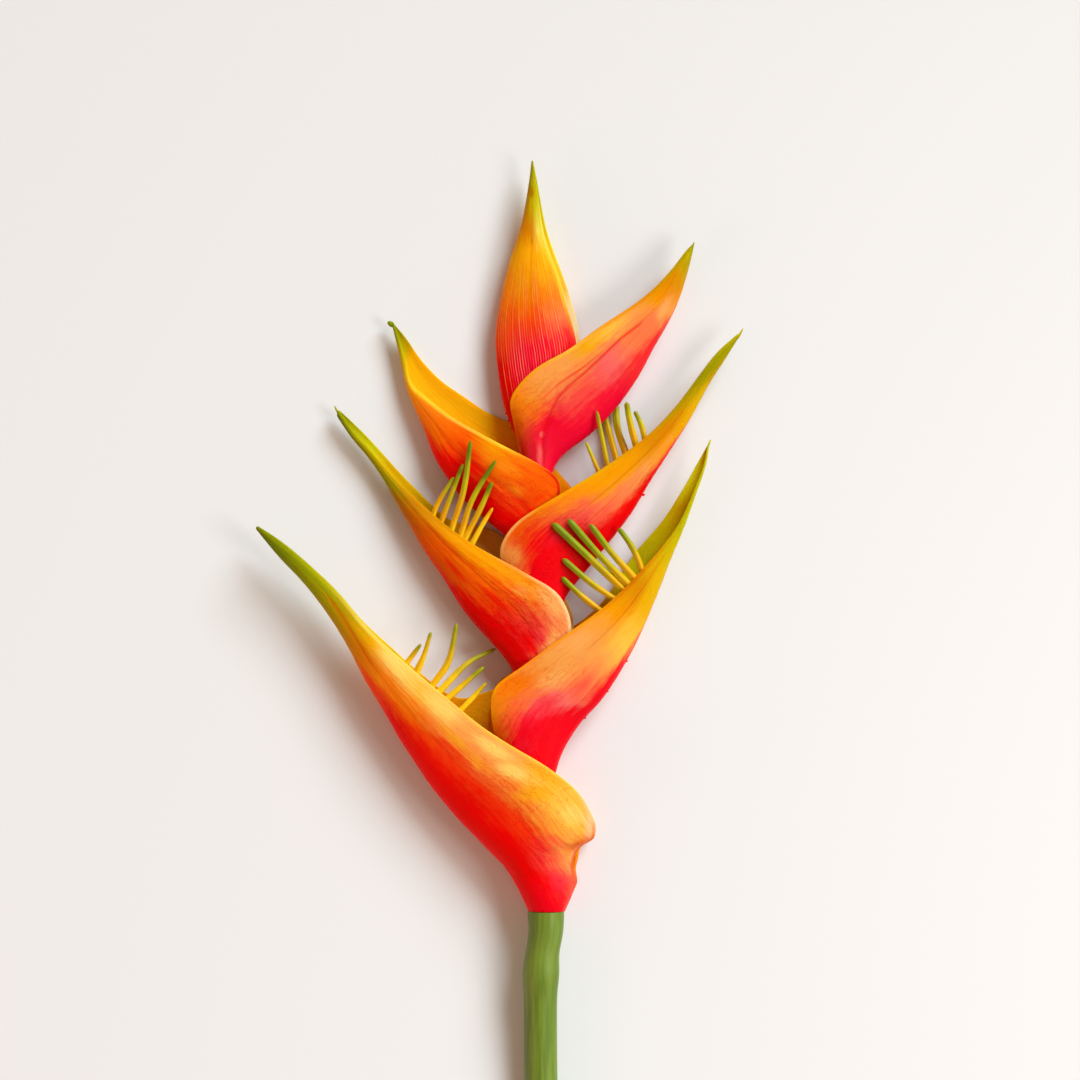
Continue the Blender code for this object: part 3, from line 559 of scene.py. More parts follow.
def waves(seed, count, along, around, along_turns, around_turns):
    """A smooth random height between about -1 and 1 over a surface."""
    dice = np.random.default_rng(seed)
    height = 0.0
    for _ in range(count):
        turns = along_turns * dice.uniform(0.4, 1.0), around_turns * dice.uniform(-1.0, 1.0)
        phase = dice.uniform(0.0, 2 * pi)
        height = height + np.sin(2 * pi * (turns[0] * along + turns[1] * around) + phase)
    return height / count**0.5


def axis_height(y):
    return NECK_HEIGHT - HEAD_SLOPE * y


# Meshes


def add_mesh(name, shells, finish, node):
    """Makes a piece that stands for a node out of closed shells of rings, with marks for its finish to read.

    A shell is a grid of points in drawing millimetres, ring by ring, and its marks, each as big as the grid."""
    points, quads, caps, start = [], [], [], 0
    marks = {key: [] for key in shells[0][1]}
    for rings, shell_marks in shells:
        count, sides = rings.shape[:2]
        index = np.arange(count * sides).reshape(count, sides) + start
        beside = np.roll(index, -1, axis=1)
        faces = np.stack([index[:-1], beside[:-1], beside[1:], index[1:]], axis=2).reshape(-1, 4)
        ends = [index[0, ::-1], index[-1]]
        flat = rings.reshape(-1, 3)
        a, b, c, d = (flat[faces[:, corner] - start] for corner in range(4))
        volume = (a * np.cross(b, c)).sum() + (a * np.cross(c, d)).sum()
        if volume < 0:
            faces, ends = faces[:, ::-1], [end[::-1] for end in ends]
        points.append(flat)
        quads += faces.tolist()
        caps += [end.tolist() for end in ends]
        for key, values in shell_marks.items():
            marks[key].append(np.broadcast_to(values, (count, sides)).reshape(-1))
        start += count * sides
    mesh = bpy.data.meshes.new(name)
    mesh.from_pydata((np.concatenate(points) * MM + ZERO).tolist(), [], quads + caps)
    for key, values in marks.items():
        layer = mesh.attributes.new(key, "FLOAT", "POINT")
        layer.data.foreach_set("value", np.concatenate(values).astype(np.float32))
    mesh.materials.append(finish)
    mesh.shade_smooth()
    mesh.set_sharp_from_angle(angle=SHARP_ANGLE)
    piece = bpy.data.objects.new(name, mesh)
    bpy.context.scene.collection.objects.link(piece)
    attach(piece, "root")
    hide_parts(node)


def tube(line, radii, sides, slant=0.0):
    """Rings of points of a tube along a line, and the turn of each point. Slant tilts its first end."""
    line = np.asarray(line, float)
    along = unit(np.gradient(line, axis=0))
    sideways = unit(np.cross(along, (0.0, 0.0, 1.0)))
    upward = np.cross(sideways, along)
    turns = (np.arange(sides) + 0.5) / sides * 2 * pi - pi / 2
    wide, high = np.cos(turns)[None, :, None], np.sin(turns)[None, :, None]
    radii = np.asarray(radii, float)[:, None, None]
    rings = line[:, None, :] + radii * (wide * sideways[:, None, :] + high * upward[:, None, :])
    rings[0] += radii[0] * wide[0] * tan(slant) * along[0]
    return rings, turns


def spindle(start, end, radius):
    """Rings of a small spindle that tapers to both its ends."""
    steps = (1 - np.cos(np.linspace(0.0, pi, SPINDLE_RINGS))) / 2
    line = np.asarray(start, float) + (np.asarray(end, float) - start) * steps[:, None]
    return tube(line, radius * np.sqrt(np.clip(1 - (2 * steps - 1) ** 2, 0.01, 1)), SPINDLE_SIDES)[0]


# Bracts


def middle_line(bract, places):
    return (soft_curve(bract.line(0), places) + soft_curve(bract.line(1), places)) / 2


def middle_height(bract, places):
    """Height of the plane between the cheeks: on the rachis at the base, at the tip's own height at the end."""
    share = rise(places, LEAVES_AXIS, 1.0)
    return axis_height(middle_line(bract, places)[:, 1]) * (1 - share) + bract.tip_height * share


def form_places_of(bract, places):
    """Places as the solids count them: evenly over their own stations, whatever stations are added here."""
    own = bract.solid_stations or range(len(bract.stations))
    return np.interp(places * (len(bract.stations) - 1), own, evenly(len(own)))


def even_places(bract):
    """Places at even steps along the bract, and how far along its length each lies, in millimetres."""
    fine = evenly(1200)
    pieces = np.linalg.norm(np.diff(middle_line(bract, fine), axis=0), axis=1)
    walked = np.concatenate([[0.0], np.cumsum(pieces)])
    steps = np.linspace(0.0, walked[-1], int(walked[-1] / ROW_SPACING) + 1)
    return np.interp(steps, walked, fine), steps


def even_around(columns):
    """Turns of a cheek from keel to rim, from 0 to 1, that lie evenly along its curve."""
    turn = evenly(400)
    step = np.hypot(3.0 * np.sin(turn * pi / 2), np.cos(turn * pi / 2))
    walked = np.concatenate([[0.0], np.cumsum((step[1:] + step[:-1]) / 2)])
    return np.interp(evenly(columns + 1), walked / walked[-1], turn)


def cheek(bract, side, places, around):
    """Outer and inner points of one cheek, and how far across each lies, with columns from the keel to the rim."""
    form_places = form_places_of(bract, places)
    keel = soft_curve(bract.line(0), places)
    chord = soft_curve(bract.line(1 if side > 0 else 2), places) - keel
    length = np.linalg.norm(chord, axis=1)[:, None]
    middle = middle_height(bract, places)[:, None]
    narrowed = rise(form_places, 0.0, WAIST_PLACE) * (1 - rise(form_places, WAIST_PLACE, WAIST_END))
    waist = 1 - (1 - WAIST) * narrowed[:, None]
    depth = bract.belly * np.tanh(length / (DEPTH_REACH * bract.belly)) * waist
    depth = np.hypot(depth, TIP_HALF_DEPTH)
    wall = np.minimum(WALL, WALL_SHARE * depth)
    opened = rise(form_places, SHEATH_END, MOUTH_OPEN)[:, None]
    wrap = SHEATH_WRAP + (MOUTH_WRAP - SHEATH_WRAP) * opened
    angle = wrap * around
    across = (1 - np.cos(angle)) / (1 - np.cos(wrap))
    keel_inset = np.minimum(wall / length, KEEL_SHARE)
    rim_inset = keel_inset * np.maximum(0.0, -np.cos(wrap))
    across_inside = keel_inset + (1 - keel_inset - rim_inset) * across
    side_wall = wall * (1 - RIM_THINNING * around)
    rolled = RIM_ROLL * opened * rise(around, RIM_ROLL_START, 1.0) ** 1.5
    outer_height = np.maximum(middle + side * depth * (np.sin(angle) - rolled), 0.0)
    inner_depth = (depth - side_wall) * np.sin(angle) - depth * rolled
    inner_height = np.maximum(middle + side * inner_depth, side_wall)
    skins = []
    for share, height in ((across, outer_height), (across_inside, inner_height)):
        flat = keel[:, None, :] + chord[:, None, :] * share[:, :, None]
        skins.append(np.dstack([flat, height]))
    return skins[0], skins[1], side * across


def bract_skin(bract, places, columns, which):
    """Points of the outer (0) or inner (1) skin, from the back rim over the keel to the front rim, and their lanes,
    which go from -1 at the back rim to 1 at the front rim."""
    around = even_around(columns)[None, :]
    back = cheek(bract, -1, places, around)
    front = cheek(bract, 1, places, around)
    points = np.concatenate([back[which][:, :0:-1], front[which]], axis=1)
    lanes = np.concatenate([back[2][:, :0:-1], front[2]], axis=1)
    return points, lanes


def surface_normals(points):
    """Directions straight out of a grid of points, upward on its front half."""
    normals = unit(np.cross(np.gradient(points, axis=0), np.gradient(points, axis=1)))
    front = normals[:, points.shape[1] // 2:, 2]
    return normals if front.mean() > 0 else -normals


def skin_relief(bract, seed, along, lanes, drift, chord):
    """How far the outer skin stands out: lumps, veins and fine lines, the crease on each cheek, and the keel's seam."""
    reach = np.abs(lanes)
    fade = rise(along, 0.0, 0.14) * (1 - rise(along, 0.82, 0.98)) * np.minimum(1.0, chord / FULL_RELIEF_CHORD)
    veins = np.sin(2 * pi * (drift * VEINS_PER_CM + 0.5 * waves(seed, 3, along, drift, 1.2, 0.5)))
    lines = np.sin(2 * pi * (drift * LINES_PER_CM + 0.3 * waves(seed + 5, 3, along, drift, 1.0, 0.8)))
    line_height = LINE_HEIGHT * (1 + 2 * bract.paint.lines)
    crease_at = read(bract.crease, along)
    relief = LUMP_HEIGHT * waves(seed + 20, 6, along, lanes, 5.0, 1.3)
    relief += (VEIN_HEIGHT * veins + line_height * lines) * rise(reach, 0.0, 0.2) * (1.2 - reach)
    relief -= bract.crease_depth * bump(reach, crease_at, CREASE_WIDTH)
    relief += 0.5 * bract.crease_depth * bump(reach, crease_at + CREASE_TO_SWELL, SWELL_WIDTH)
    relief *= fade
    seam = SEAM_HEIGHT + SEAM_WAVES * waves(seed + 60, 5, along, 0.0, 40.0, 0.0)
    seam = seam * rise(along, 0.0, 0.1) * (1 - rise(along, 0.9, 1.0))
    relief[:, OUTER_COLUMNS - 1:OUTER_COLUMNS + 2] += seam * (0.25, 1.0, 0.25)
    return relief


def rim_turn(outer, inner, beside):
    """Points round the edge of a sheet from its outer to its inner skin."""
    outward = unit(outer - beside)
    centre, half = (outer + inner) / 2, (outer - inner) / 2
    reach = np.linalg.norm(half, axis=1)[:, None]
    turns = [pi * step / (RIM_STEPS + 1) for step in range(1, RIM_STEPS + 1)]
    return np.stack([centre + half * cos(turn) + outward * reach * RIM_BULGE * sin(turn) for turn in turns], axis=1)


def tip_caps(loops):
    """Rings that round off the end of a bract."""
    tip = loops[-1].mean(axis=0)
    ahead = unit(tip - loops[-4].mean(axis=0))
    turns = [step / TIP_STEPS * TIP_TURN for step in range(1, TIP_STEPS + 1)]
    return np.array([tip + (loops[-1] - tip) * cos(turn) + ahead * TIP_REACH * sin(turn) for turn in turns])


def dab_strength(spots, along, across):
    """Soft spots of dye on a cheek, each strongest at its middle."""
    amount = np.zeros(np.broadcast_shapes(along.shape, across.shape))
    for spot in spots:
        place, share, length, width, strength = (number / 100 for number in spot)
        amount = np.maximum(amount, strength * bump(along, place, length) * bump(across, share, width))
    return amount


def skin_marks(bract, along, run, lanes, spread, chord, inside):
    """What the finish of a bract reads: places on its skin, and how far each lies past the borders of the dyes."""
    paint = bract.paint
    reach = np.abs(lanes)
    border = read(paint.border, along)
    fold_start, fold_end, strength = (number / 100 for number in paint.fold[:3])
    folded = strength * rise(along, fold_start, fold_start + 0.06) * rise(along, fold_end, fold_end - 0.06)
    marks = {
        "along": along,
        "run": run,
        "drift": lanes * spread,
        "reach": reach,
        "inside": inside,
        "past_border": (reach - border) / (0.55 * border + 0.03),
        "past_shoulder": reach - read(paint.shoulder, along),
        "from_rim": (1 - reach) * chord,
        "fold": folded * bump((reach - read(bract.crease, along)) * chord, 0.0, 0.8),
    }
    for index, (_, spots) in enumerate(paint.dabs):
        marks[f"dab_{index}"] = dab_strength(spots, along, reach)
    return marks


def awn_shell(bract, height, marks):
    """The thin point at a bract's tip, with the marks of the tip."""
    (x, y), (end_x, end_y), radius = bract.awn
    start, end = np.array([x, y, height]), np.array([end_x, end_y, height + 0.3])
    skin = {key: values[-1, 0] if len(values) > 1 else 0.0 for key, values in marks.items()}
    return spindle(start - (end - start) * 0.6, end, radius), skin


def bit_shell(outer, bit, marks):
    """A scrap that stands out from the keel and leans to the tip, dyed as the keel is."""
    x, y, size = bit
    keel = outer[:, OUTER_COLUMNS]
    at = int(np.argmin(np.hypot(keel[:, 0] - x, keel[:, 1] - y)))
    out = unit(keel[at] - outer[at, OUTER_COLUMNS + 10]) * (1.0, 1.0, 0.3)
    lean = unit(keel[min(at + 2, len(keel) - 1)] - keel[at])
    end = keel[at] + out * size * 1.3 + lean * size * 0.7
    skin = {key: 0.0 for key in marks}
    skin.update(past_border=-4.0, past_shoulder=-1.0, from_rim=9.0)
    skin.update(along=marks["along"][at, 0], run=marks["run"][at, 0])
    return spindle(keel[at] - out * 0.6, end, 0.3 + 0.2 * size), skin


def add_bract(number, bract):
    """One bract: a thin folded sheet with rounded rims, veins, a crease along each cheek, and a closed tip."""
    seed = 40 + number
    places, steps = even_places(bract)
    outer, outer_lanes = bract_skin(bract, places, OUTER_COLUMNS, 0)
    inner, inner_lanes = bract_skin(bract, places, INNER_COLUMNS, 1)
    along, run = steps[:, None] / steps[-1], steps[:, None] / CM
    chord = np.linalg.norm(soft_curve(bract.line(1), places) - soft_curve(bract.line(0), places), axis=1)[:, None]
    # Veins keep their spacing toward the base, and draw together toward the tip
    widest = np.maximum.accumulate(chord[::-1])[::-1]
    spread = chord / widest * widest.max() / CM

    relief = skin_relief(bract, seed, along, outer_lanes, outer_lanes * spread, chord)
    outer = outer + surface_normals(outer) * relief[:, :, None]
    outer[:, :, 2] = np.maximum(outer[:, :, 2], 0.0)
    front_turn = rim_turn(outer[:, -1], inner[:, -1], outer[:, -3])
    back_turn = rim_turn(outer[:, 0], inner[:, 0], outer[:, 2])
    loops = np.concatenate([outer, front_turn, inner[:, ::-1], back_turn[:, ::-1]], axis=1)
    rings = np.concatenate([loops, tip_caps(loops)])

    turn_marks = np.arange(1, RIM_STEPS + 1) / (RIM_STEPS + 1)
    inside = np.concatenate([np.zeros(outer.shape[1]), turn_marks, np.ones(inner.shape[1]), turn_marks[::-1]])
    edge = np.ones((len(steps), RIM_STEPS))
    lanes = np.concatenate([outer_lanes, edge, inner_lanes[:, ::-1], -edge], axis=1)
    along, run, lanes, spread, chord = (
        np.concatenate([values, np.repeat(values[-1:], TIP_STEPS, axis=0)])
        for values in (along, run, lanes, spread, chord)
    )
    marks = skin_marks(bract, along, run, lanes, spread, chord, inside[None, :])
    shells = [(rings, marks)]
    if bract.awn:
        shells.append(awn_shell(bract, loops[-1].mean(axis=0)[2], marks))
    shells += [bit_shell(outer, bit, marks) for bit in bract.bits]
    name = f"bract_{number}"
    add_mesh(name, shells, bract_finish(name, bract.paint, seed), name)


# Stem and florets


def stem_radius(y):
    """Radius of the green stem: a swelling at its node, and a wider neck."""
    swelling = NODE_SWELLING * bump(y, -NODE_DROP, NODE_SPREAD)
    return STEM_RADIUS + swelling + (NECK_RADIUS - STEM_RADIUS) * rise(y, -NECK_FLARE, 0.0)


def add_stem():
    """Green stem with its node and its cut face, and the thin rachis inside the head."""
    flat = soft_curve(STEM_LINE, evenly(STEM_RINGS))
    radii = stem_radius(flat[:, 1])
    lying = radii * cos(pi / SOLID_STEM_SIDES)
    line = np.column_stack([flat, lying + (NECK_HEIGHT - lying) * rise(flat[:, 1], -STEM_LIES, 0.0)])
    line[-1, 1] = -SHOULDER_DROP
    rachis = smooth_curve(RACHIS, evenly(RACHIS_RINGS))
    rachis[0, 1] = -SHOULDER_DROP + SHOULDER_EDGE
    thin = np.column_stack([rachis[:, :2], axis_height(rachis[:, 1])])
    rings, turns = tube(np.vstack([line, thin]), np.concatenate([radii, rachis[:, 2]]), STEM_SIDES, CUT_SLANT)
    rings[:, :, 2] = np.maximum(rings[:, :, 2], 0.0)
    centre, inward = rings[0].mean(axis=0), unit(line[1] - line[0])
    cut = np.array([centre + (rings[0] - centre) * share + inward * depth for share, depth in CUT_FACE])
    core = [share for share, _ in CUT_FACE] + [1.0] * len(rings)
    run = np.concatenate([np.full(len(cut), line[0, 1]), line[:, 1], thin[:, 1]]) / CM
    marks = {"run": run[:, None], "turn": turns[None, :], "core": np.array(core)[:, None]}
    add_mesh("stem", [(np.concatenate([cut, rings]), marks)], stem_finish(), "stem")


def trunk_line(bract, stretch):
    """The common base of a bunch, in the trough of its bract just clear of the keel."""
    fine = evenly(2000)
    places = np.interp(np.linspace(*stretch, TRUNK_RINGS), form_places_of(bract, fine), fine)
    keel = soft_curve(bract.line(0), places)
    inward = unit(soft_curve(bract.line(1), places) - keel)
    flat = keel + inward * (WALL + GAP + TRUNK_SEAT * TRUNK_RADIUS)
    return np.column_stack([flat, middle_height(bract, places)])


def root_of(line, trunk):
    """Where on the trunk a floret roots: close to its first point, and in line with its first stretch."""
    held = trunk[3:-3]
    offset = held[:, :2] - line[0][:2]
    back = unit(np.subtract(line[0], line[1])[:2])
    return held[np.argmin(np.abs(np.cross(offset, back)) + 0.2 * np.linalg.norm(offset, axis=1))]


def add_florets(number, bract, bunch):
    """A bunch of florets on their common base, each a slim spindle with a groove along its upper side."""
    trunk = trunk_line(bract, bunch.stretch)
    swell = np.sqrt(np.sin(np.linspace(0.03, 0.97, TRUNK_RINGS) * pi))
    rings, turns = tube(trunk, TRUNK_RADIUS * swell, FLORET_SIDES)
    upward = np.sin(turns)[None, :]
    groove = 1 - 0.22 * bump(np.abs(turns - pi / 2 - 0.5), 0.0, 0.3)[None, :, None]
    shells = [(rings, {"along": 0.0, "upward": upward, "ripe": 0.0})]
    steps = evenly(FLORET_RINGS)
    for index, ((root_radius, tip_radius, ripe), line) in enumerate(bunch.lines):
        centre = smooth_curve([root_of(line, trunk)] + line, steps)
        radii = root_radius + (tip_radius - root_radius) * steps**1.5
        radii *= 1 + 0.05 * waves(number * 10 + index, 3, steps, 0.0, 3.0, 0.0)
        radii *= np.sqrt(np.clip(1 - ((steps - 0.94) / 0.0605).clip(0) ** 2, 0.02, 1))
        rings = tube(centre, radii, FLORET_SIDES)[0]
        rings = centre[:, None, :] + (rings - centre[:, None, :]) * groove
        shells.append((rings, {"along": steps[:, None], "upward": upward, "ripe": ripe}))
    name = f"florets_{number}"
    add_mesh(name, shells, floret_finish(name, bunch.dyes), name)


# Finishes


def linear(pigment):
    """The scene's own colour for eight-bit red, green and blue."""
    parts = [part / 255 for part in pigment]
    return tuple(p / 12.92 if p <= 0.04045 else ((p + 0.055) / 1.055) ** 2.4 for p in parts) + (1.0,)


class Shade:
    """A number, colour or vector inside a finish, with plain arithmetic on numbers."""

    def __init__(self, finish, socket):
        self.finish = finish
        self.socket = socket

    def __add__(self, other):
        return self.finish.maths("ADD", self, other)

    def __sub__(self, other):
        return self.finish.maths("SUBTRACT", self, other)

    def __rsub__(self, other):
        return self.finish.maths("SUBTRACT", other, self)

    def __mul__(self, other):
        return self.finish.maths("MULTIPLY", self, other)

    __radd__ = __add__
    __rmul__ = __mul__


class Finish:
    """A material built up from nodes on one shader."""

    def __init__(self, name, specular):
        self.material = bpy.data.materials.new(name)
        self.material.use_nodes = True
        self.tree = self.material.node_tree
        self.surface = self.tree.nodes["Principled BSDF"]
        self.put("Specular IOR Level", specular)

    def put(self, key, value):
        """Sets one of the shader's own sockets, or links to it."""
        self.join(self.surface.inputs[key], value)

    def flesh(self, weight, radius, scale):
        """Lets light sink into the surface, furthest where the radius is largest."""
        self.put("Subsurface Weight", weight)
        self.put("Subsurface Radius", radius)
        self.put("Subsurface Scale", scale)

    def join(self, socket, value):
        if isinstance(value, Shade):
            self.tree.links.new(value.socket, socket)
        else:
            socket.default_value = value

    def node(self, kind, settings=None, sockets=None, out=0):
        """Adds a node: first its settings, where stops are a ramp's, then the values or links of its sockets."""
        made = self.tree.nodes.new("ShaderNode" + kind)
        for key, value in (settings or {}).items():
            if key == "stops":
                ramp = made.color_ramp
                while len(ramp.elements) < len(value):
                    ramp.elements.new(1.0)
                for stop, (place, colour) in zip(ramp.elements, value):
                    stop.position, stop.color = place, colour
            else:
                setattr(made, key, value)
        for key, value in (sockets or {}).items():
            self.join(made.inputs[key], value)
        return Shade(self, made.outputs[out])

    def maths(self, operation, first, second=0.0):
        return self.node("Math", {"operation": operation}, {0: first, 1: second})

    def mark(self, name):
        return self.node("Attribute", {"attribute_name": name}, out=2)

    def dyes(self, place, stops):
        """Colours at places from 0 to 1, where the stops count in hundredths."""
        return self.node("ValToRGB", {"stops": [(p / 100, linear(c)) for p, c in stops]}, {0: place})

    def eased(self, value, low, high):
        """0 where value is at low or under, 1 at high or over, and smooth between."""
        sockets = {0: value, 1: low, 2: high, 3: 0.0, 4: 1.0}
        return self.node("MapRange", {"interpolation_type": "SMOOTHSTEP"}, sockets)

    def blend(self, share, first, second, way="MIX"):
        first, second = (linear(c) if isinstance(c, tuple) else c for c in (first, second))
        return self.node("Mix", {"data_type": "RGBA", "blend_type": way}, {0: share, 6: first, 7: second}, out=2)

    def spot(self, x, y, z):
        return self.node("CombineXYZ", None, {0: x, 1: y, 2: z})

    def object_place(self):
        return self.node("TexCoord", out=3)

    def noise(self, place, scale=1.0, detail=2.0, roughness=0.5):
        """Noise about zero, mostly between -0.25 and 0.25."""
        sockets = {"Vector": place, "Scale": scale, "Detail": detail, "Roughness": roughness}
        return self.node("TexNoise", None, sockets) - 0.5

    def done(self, colour, roughness, height, depth):
        self.put("Base Color", colour)
        self.put("Roughness", roughness)
        self.put("Normal", self.node("Bump", None, {"Height": height, "Distance": depth}))
        return self.material


def bract_finish(name, paint, seed):
    """Dyed satin skin: red at the keel and base, orange to yellow at the rim, green at the tip, with long streaks."""
    f = Finish(name, 0.1)
    f.put("Specular Tint", (1.0, 0.4, 0.12, 1.0))
    f.flesh(0.4, (1.0, 0.25, 0.08), 0.005)
    along, run, drift, reach = (f.mark(key) for key in ("along", "run", "drift", "reach"))

    def grain(along_scale, across_scale, shift, detail=2.0, roughness=0.5):
        """Noise with its own scale along and across the bract, in steps to a centimetre."""
        return f.noise(f.spot(run * along_scale, drift * across_scale, seed + shift), 1.0, detail, roughness)

    fibres = grain(0.2, 5.0, 0.0)
    hairs = grain(0.3, 17.0, 7.0)
    clouds = grain(0.6, 1.0, 13.0, 3.0, 0.6)
    mottle = grain(2.4, 4.0, 19.0, 2.0, 0.6)
    base_lobe = 1.0 - f.eased(along, 0.3, 0.5)

    # The dyes, with soft and feathered borders
    place = along + fibres * 0.04 + clouds * 0.09 + mottle * 0.03
    wander = fibres * paint.feather + clouds * 0.4 + mottle * paint.mottle
    past_border = f.mark("past_border") + wander * 4.0
    past_shoulder = f.mark("past_shoulder") + wander * 0.8
    outer = f.blend(f.eased(past_border, -0.8, 0.8), f.dyes(place, paint.keel), f.dyes(place, paint.cheek))
    outer = f.blend(f.eased(past_shoulder, -0.2, 0.2), outer, f.dyes(place, paint.rim))
    # Dabs of dye; the sixth bract's rose dab near its base is a painted highlight, a pink sheen
    for index, (dye, _) in enumerate(paint.dabs):
        dab = f.eased(f.mark(f"dab_{index}") + clouds * 0.3 + mottle * 0.3 + fibres * 0.3, 0.15, 0.9)
        outer = f.blend(dab * 0.8, outer, dye)
    fold = f.eased(f.mark("fold") + fibres * 0.4, 0.12, 0.8)
    outer = f.blend(fold * 0.8, outer, paint.fold[3])

    # Streaks on the cheeks, hairlines, painted shade in the dimples and wrinkles near the base, pale mottling and a few
    # specks
    on_cheek = f.eased(reach, 0.12, 0.3) * (1.0 - f.eased(reach, 0.65, 0.95))
    streaks = f.eased(grain(0.12, 11.0, 31.0) + clouds * 0.4, 0.07, 0.22) * on_cheek
    outer = f.blend(streaks * paint.feather, outer, STREAK, "MULTIPLY")
    outer = f.blend(f.eased(hairs, 0.0, 0.24) * 0.12, outer, HAIR, "MULTIPLY")
    dimples = grain(3.2, 3.8, 23.0, 1.0) * base_lobe * paint.dimples
    # Painted shade in the dimples' hollows
    outer = f.blend(f.eased(dimples, 0.0, 0.25) * 0.3, outer, DIMPLE_SHADE, "MULTIPLY")
    bend = f.maths("ABSOLUTE", grain(1.1, 1.9, 53.0, 2.0, 0.6))
    wrinkles = (1.0 - f.eased(bend, 0.0, 0.022)) * base_lobe * f.eased(reach, 0.2, 0.4)
    # Painted shade along the wrinkles' creases
    outer = f.blend(wrinkles * 0.3, outer, WRINKLE_SHADE, "MULTIPLY")
    outer = f.blend(f.eased(mottle, 0.0, 0.3) * 0.2, outer, CREAM, "SOFT_LIGHT")
    specks = f.eased(grain(14.0, 14.0, 41.0, 0.0), 0.3, 0.36)
    outer = f.blend(specks * 0.6, outer, SPECK, "MULTIPLY")
    # Painted highlight: thin pale lines along the cheeks, a gloss on fine ridges
    if paint.lines:
        broken = f.noise(f.spot(run * 0.35, drift * 9.0, 3.0))
        row = f.maths("SINE", drift * (2 * pi * PALE_LINES_PER_CM) + clouds * 4.0) + broken * 2.4
        span = f.eased(along, 0.2, 0.34) * (1.0 - f.eased(along, 0.56, 0.72))
        outer = f.blend(f.eased(row, 0.6, 1.5) * span * 0.45, outer, SHELL)

    # A band along the rims: partly the rims' own colour, partly painted highlight on the rounded rim
    edge = (1.0 - f.eased(f.mark("from_rim"), 0.5, 1.7)) * 0.85
    outer = f.blend(edge, outer, f.dyes(along, paint.edge))
    colour = f.blend(f.mark("inside"), outer, f.dyes(place, paint.trough))
    height = hairs * 0.4 + fibres * 0.7 + mottle * 0.6 - dimples * 1.5 - wrinkles * 0.3
    return f.done(colour, 0.44 + mottle * 0.3 + clouds * 0.2, height, 0.0003)


def floret_finish(name, dyes):
    """Florets from gold at the base to green at the tip, with painted shade on the side that faces down."""
    f = Finish(name, 0.2)
    f.flesh(0.2, (1.0, 0.5, 0.1), 0.002)
    where = f.object_place()
    grain = f.noise(where, scale=900.0, detail=3.0)
    patch = f.noise(where, scale=220.0)
    place = f.mark("along") + f.mark("ripe") + patch * 0.25
    colour = f.dyes(place, list(zip((30, 55, 78, 97), dyes)))
    # Painted shade: a darker ramp for the side of each floret that faces down
    underside_shade = f.dyes(place, [(30, OCHRE), (60, OLIVE), (80, GREEN), (100, PINE)])
    colour = f.blend((1.0 - f.eased(f.mark("upward"), -0.5, 0.35)) * 0.7, colour, underside_shade)
    return f.done(colour, 0.42 + grain * 0.2, grain, 0.0001)


def stem_finish():
    """Smooth green stem with faint long streaks, and a pale cut face with dark strands."""
    f = Finish("stem", 0.3)
    run, turn, core = f.mark("run"), f.mark("turn"), f.mark("core")
    where = f.object_place()
    round_stem = f.spot(run * 0.4, f.maths("SINE", turn) * 4.0, f.maths("COSINE", turn) * 4.0)
    streak = f.noise(round_stem, detail=3.0)
    grain = f.noise(where, scale=700.0, detail=3.0)
    green = f.blend(f.eased(streak, -0.2, 0.2), STEM_DARK, STEM_LIGHT)
    green = f.blend(f.eased(grain, 0.05, 0.3) * 0.3, green, STEM_GRAIN)
    strands = f.eased(f.noise(where, scale=900.0, detail=1.0), 0.08, 0.16)
    cut = f.blend(strands * 0.7, PITH, STRAND)
    colour = f.blend(1.0 - f.eased(core, 0.86, 0.99), green, cut)
    return f.done(colour, 0.42 + grain * 0.2, grain * 0.3 + streak, 0.0002)


# Studio


def place_item(item, place, target=None):
    """Puts a light or the camera in the scene. It looks straight down, or at its target."""
    item.location = place
    if target is not None:
        item.rotation_mode = "QUATERNION"
        item.rotation_quaternion = (Vector(target) - Vector(place)).to_track_quat("-Z", "Y")
    bpy.context.scene.collection.objects.link(item)


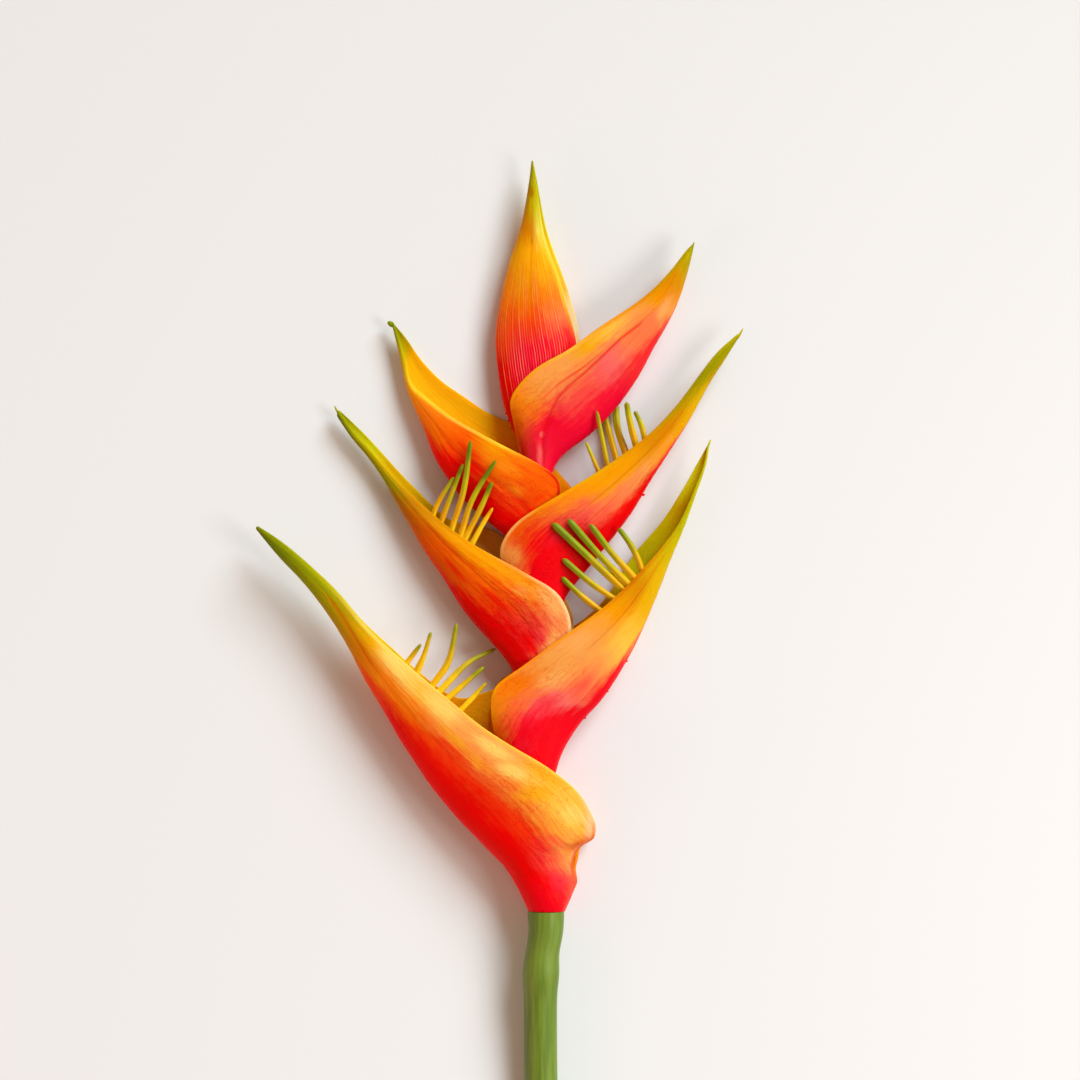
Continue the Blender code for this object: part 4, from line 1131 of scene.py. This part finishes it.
def add_floor():
    """A plain pale sheet, a hair under the flower."""
    mesh = bpy.data.meshes.new("floor")
    corners = [(x * FLOOR_SIDE, y * FLOOR_SIDE, 0) for x, y in ((-1, -1), (1, -1), (1, 1), (-1, 1))]
    mesh.from_pydata(corners, [], [(0, 1, 2, 3)])
    f = Finish("floor_paper", 0.1)
    f.put("Base Color", linear(PAPER))
    f.put("Roughness", 0.9)
    mesh.materials.append(f.material)
    floor = bpy.data.objects.new("floor", mesh)
    place_item(floor, (0, 0, -0.1 * MM))


def add_lights():
    """Soft cool light from the photo's upper right, a fill, and a warm wall and surround that tint the shade."""
    x, y = (share * cos(WINDOW_HEIGHT) for share in WINDOW_SIDE)
    window = bpy.data.lights.new("window", "SUN")
    window.energy = WINDOW_ENERGY
    window.angle = WINDOW_SOFTNESS
    window.color = WINDOW_COLOUR
    place_item(bpy.data.objects.new("window", window), Vector((x, y, sin(WINDOW_HEIGHT))) * 2, (0, 0, 0))
    for name, energy, colour, size, place, target in LAMPS:
        lamp = bpy.data.lights.new(name, "AREA")
        lamp.shape = "DISK"
        lamp.size = size
        lamp.energy = energy
        lamp.color = colour
        place_item(bpy.data.objects.new(name, lamp), place, target)
    world = bpy.context.scene.world or bpy.data.worlds.new("surround")
    bpy.context.scene.world = world
    world.use_nodes = True
    backdrop = world.node_tree.nodes["Background"]
    backdrop.inputs["Color"].default_value = SURROUND_COLOUR
    backdrop.inputs["Strength"].default_value = SURROUND_STRENGTH


def add_camera():
    """Looks straight down on the middle of the photo. At the scale's height, a pixel of the photo is PIXEL wide."""
    camera = bpy.data.cameras.new("camera")
    camera.sensor_width = 36.0
    camera.lens = camera.sensor_width * (CAMERA_DISTANCE - SCALE_HEIGHT) / (PHOTO_SIDE * PIXEL * MM)
    x = (PHOTO_SIDE / 2 - NECK_PIXEL[0]) * PIXEL * MM
    y = (NECK_PIXEL[1] - PHOTO_SIDE / 2) * PIXEL * MM
    item = bpy.data.objects.new("camera", camera)
    place_item(item, ZERO + np.array([x, y, CAMERA_DISTANCE]))
    bpy.context.scene.camera = item


add_camera()
add_stem()
for number, bract in enumerate(BRACTS, 1):
    add_bract(number, bract)
for number, (bract, bunch) in enumerate(zip(BRACTS, FLORETS), 1):
    add_florets(number, bract, bunch)
add_floor()
add_lights()
bpy.context.scene.view_settings.view_transform = "Standard"
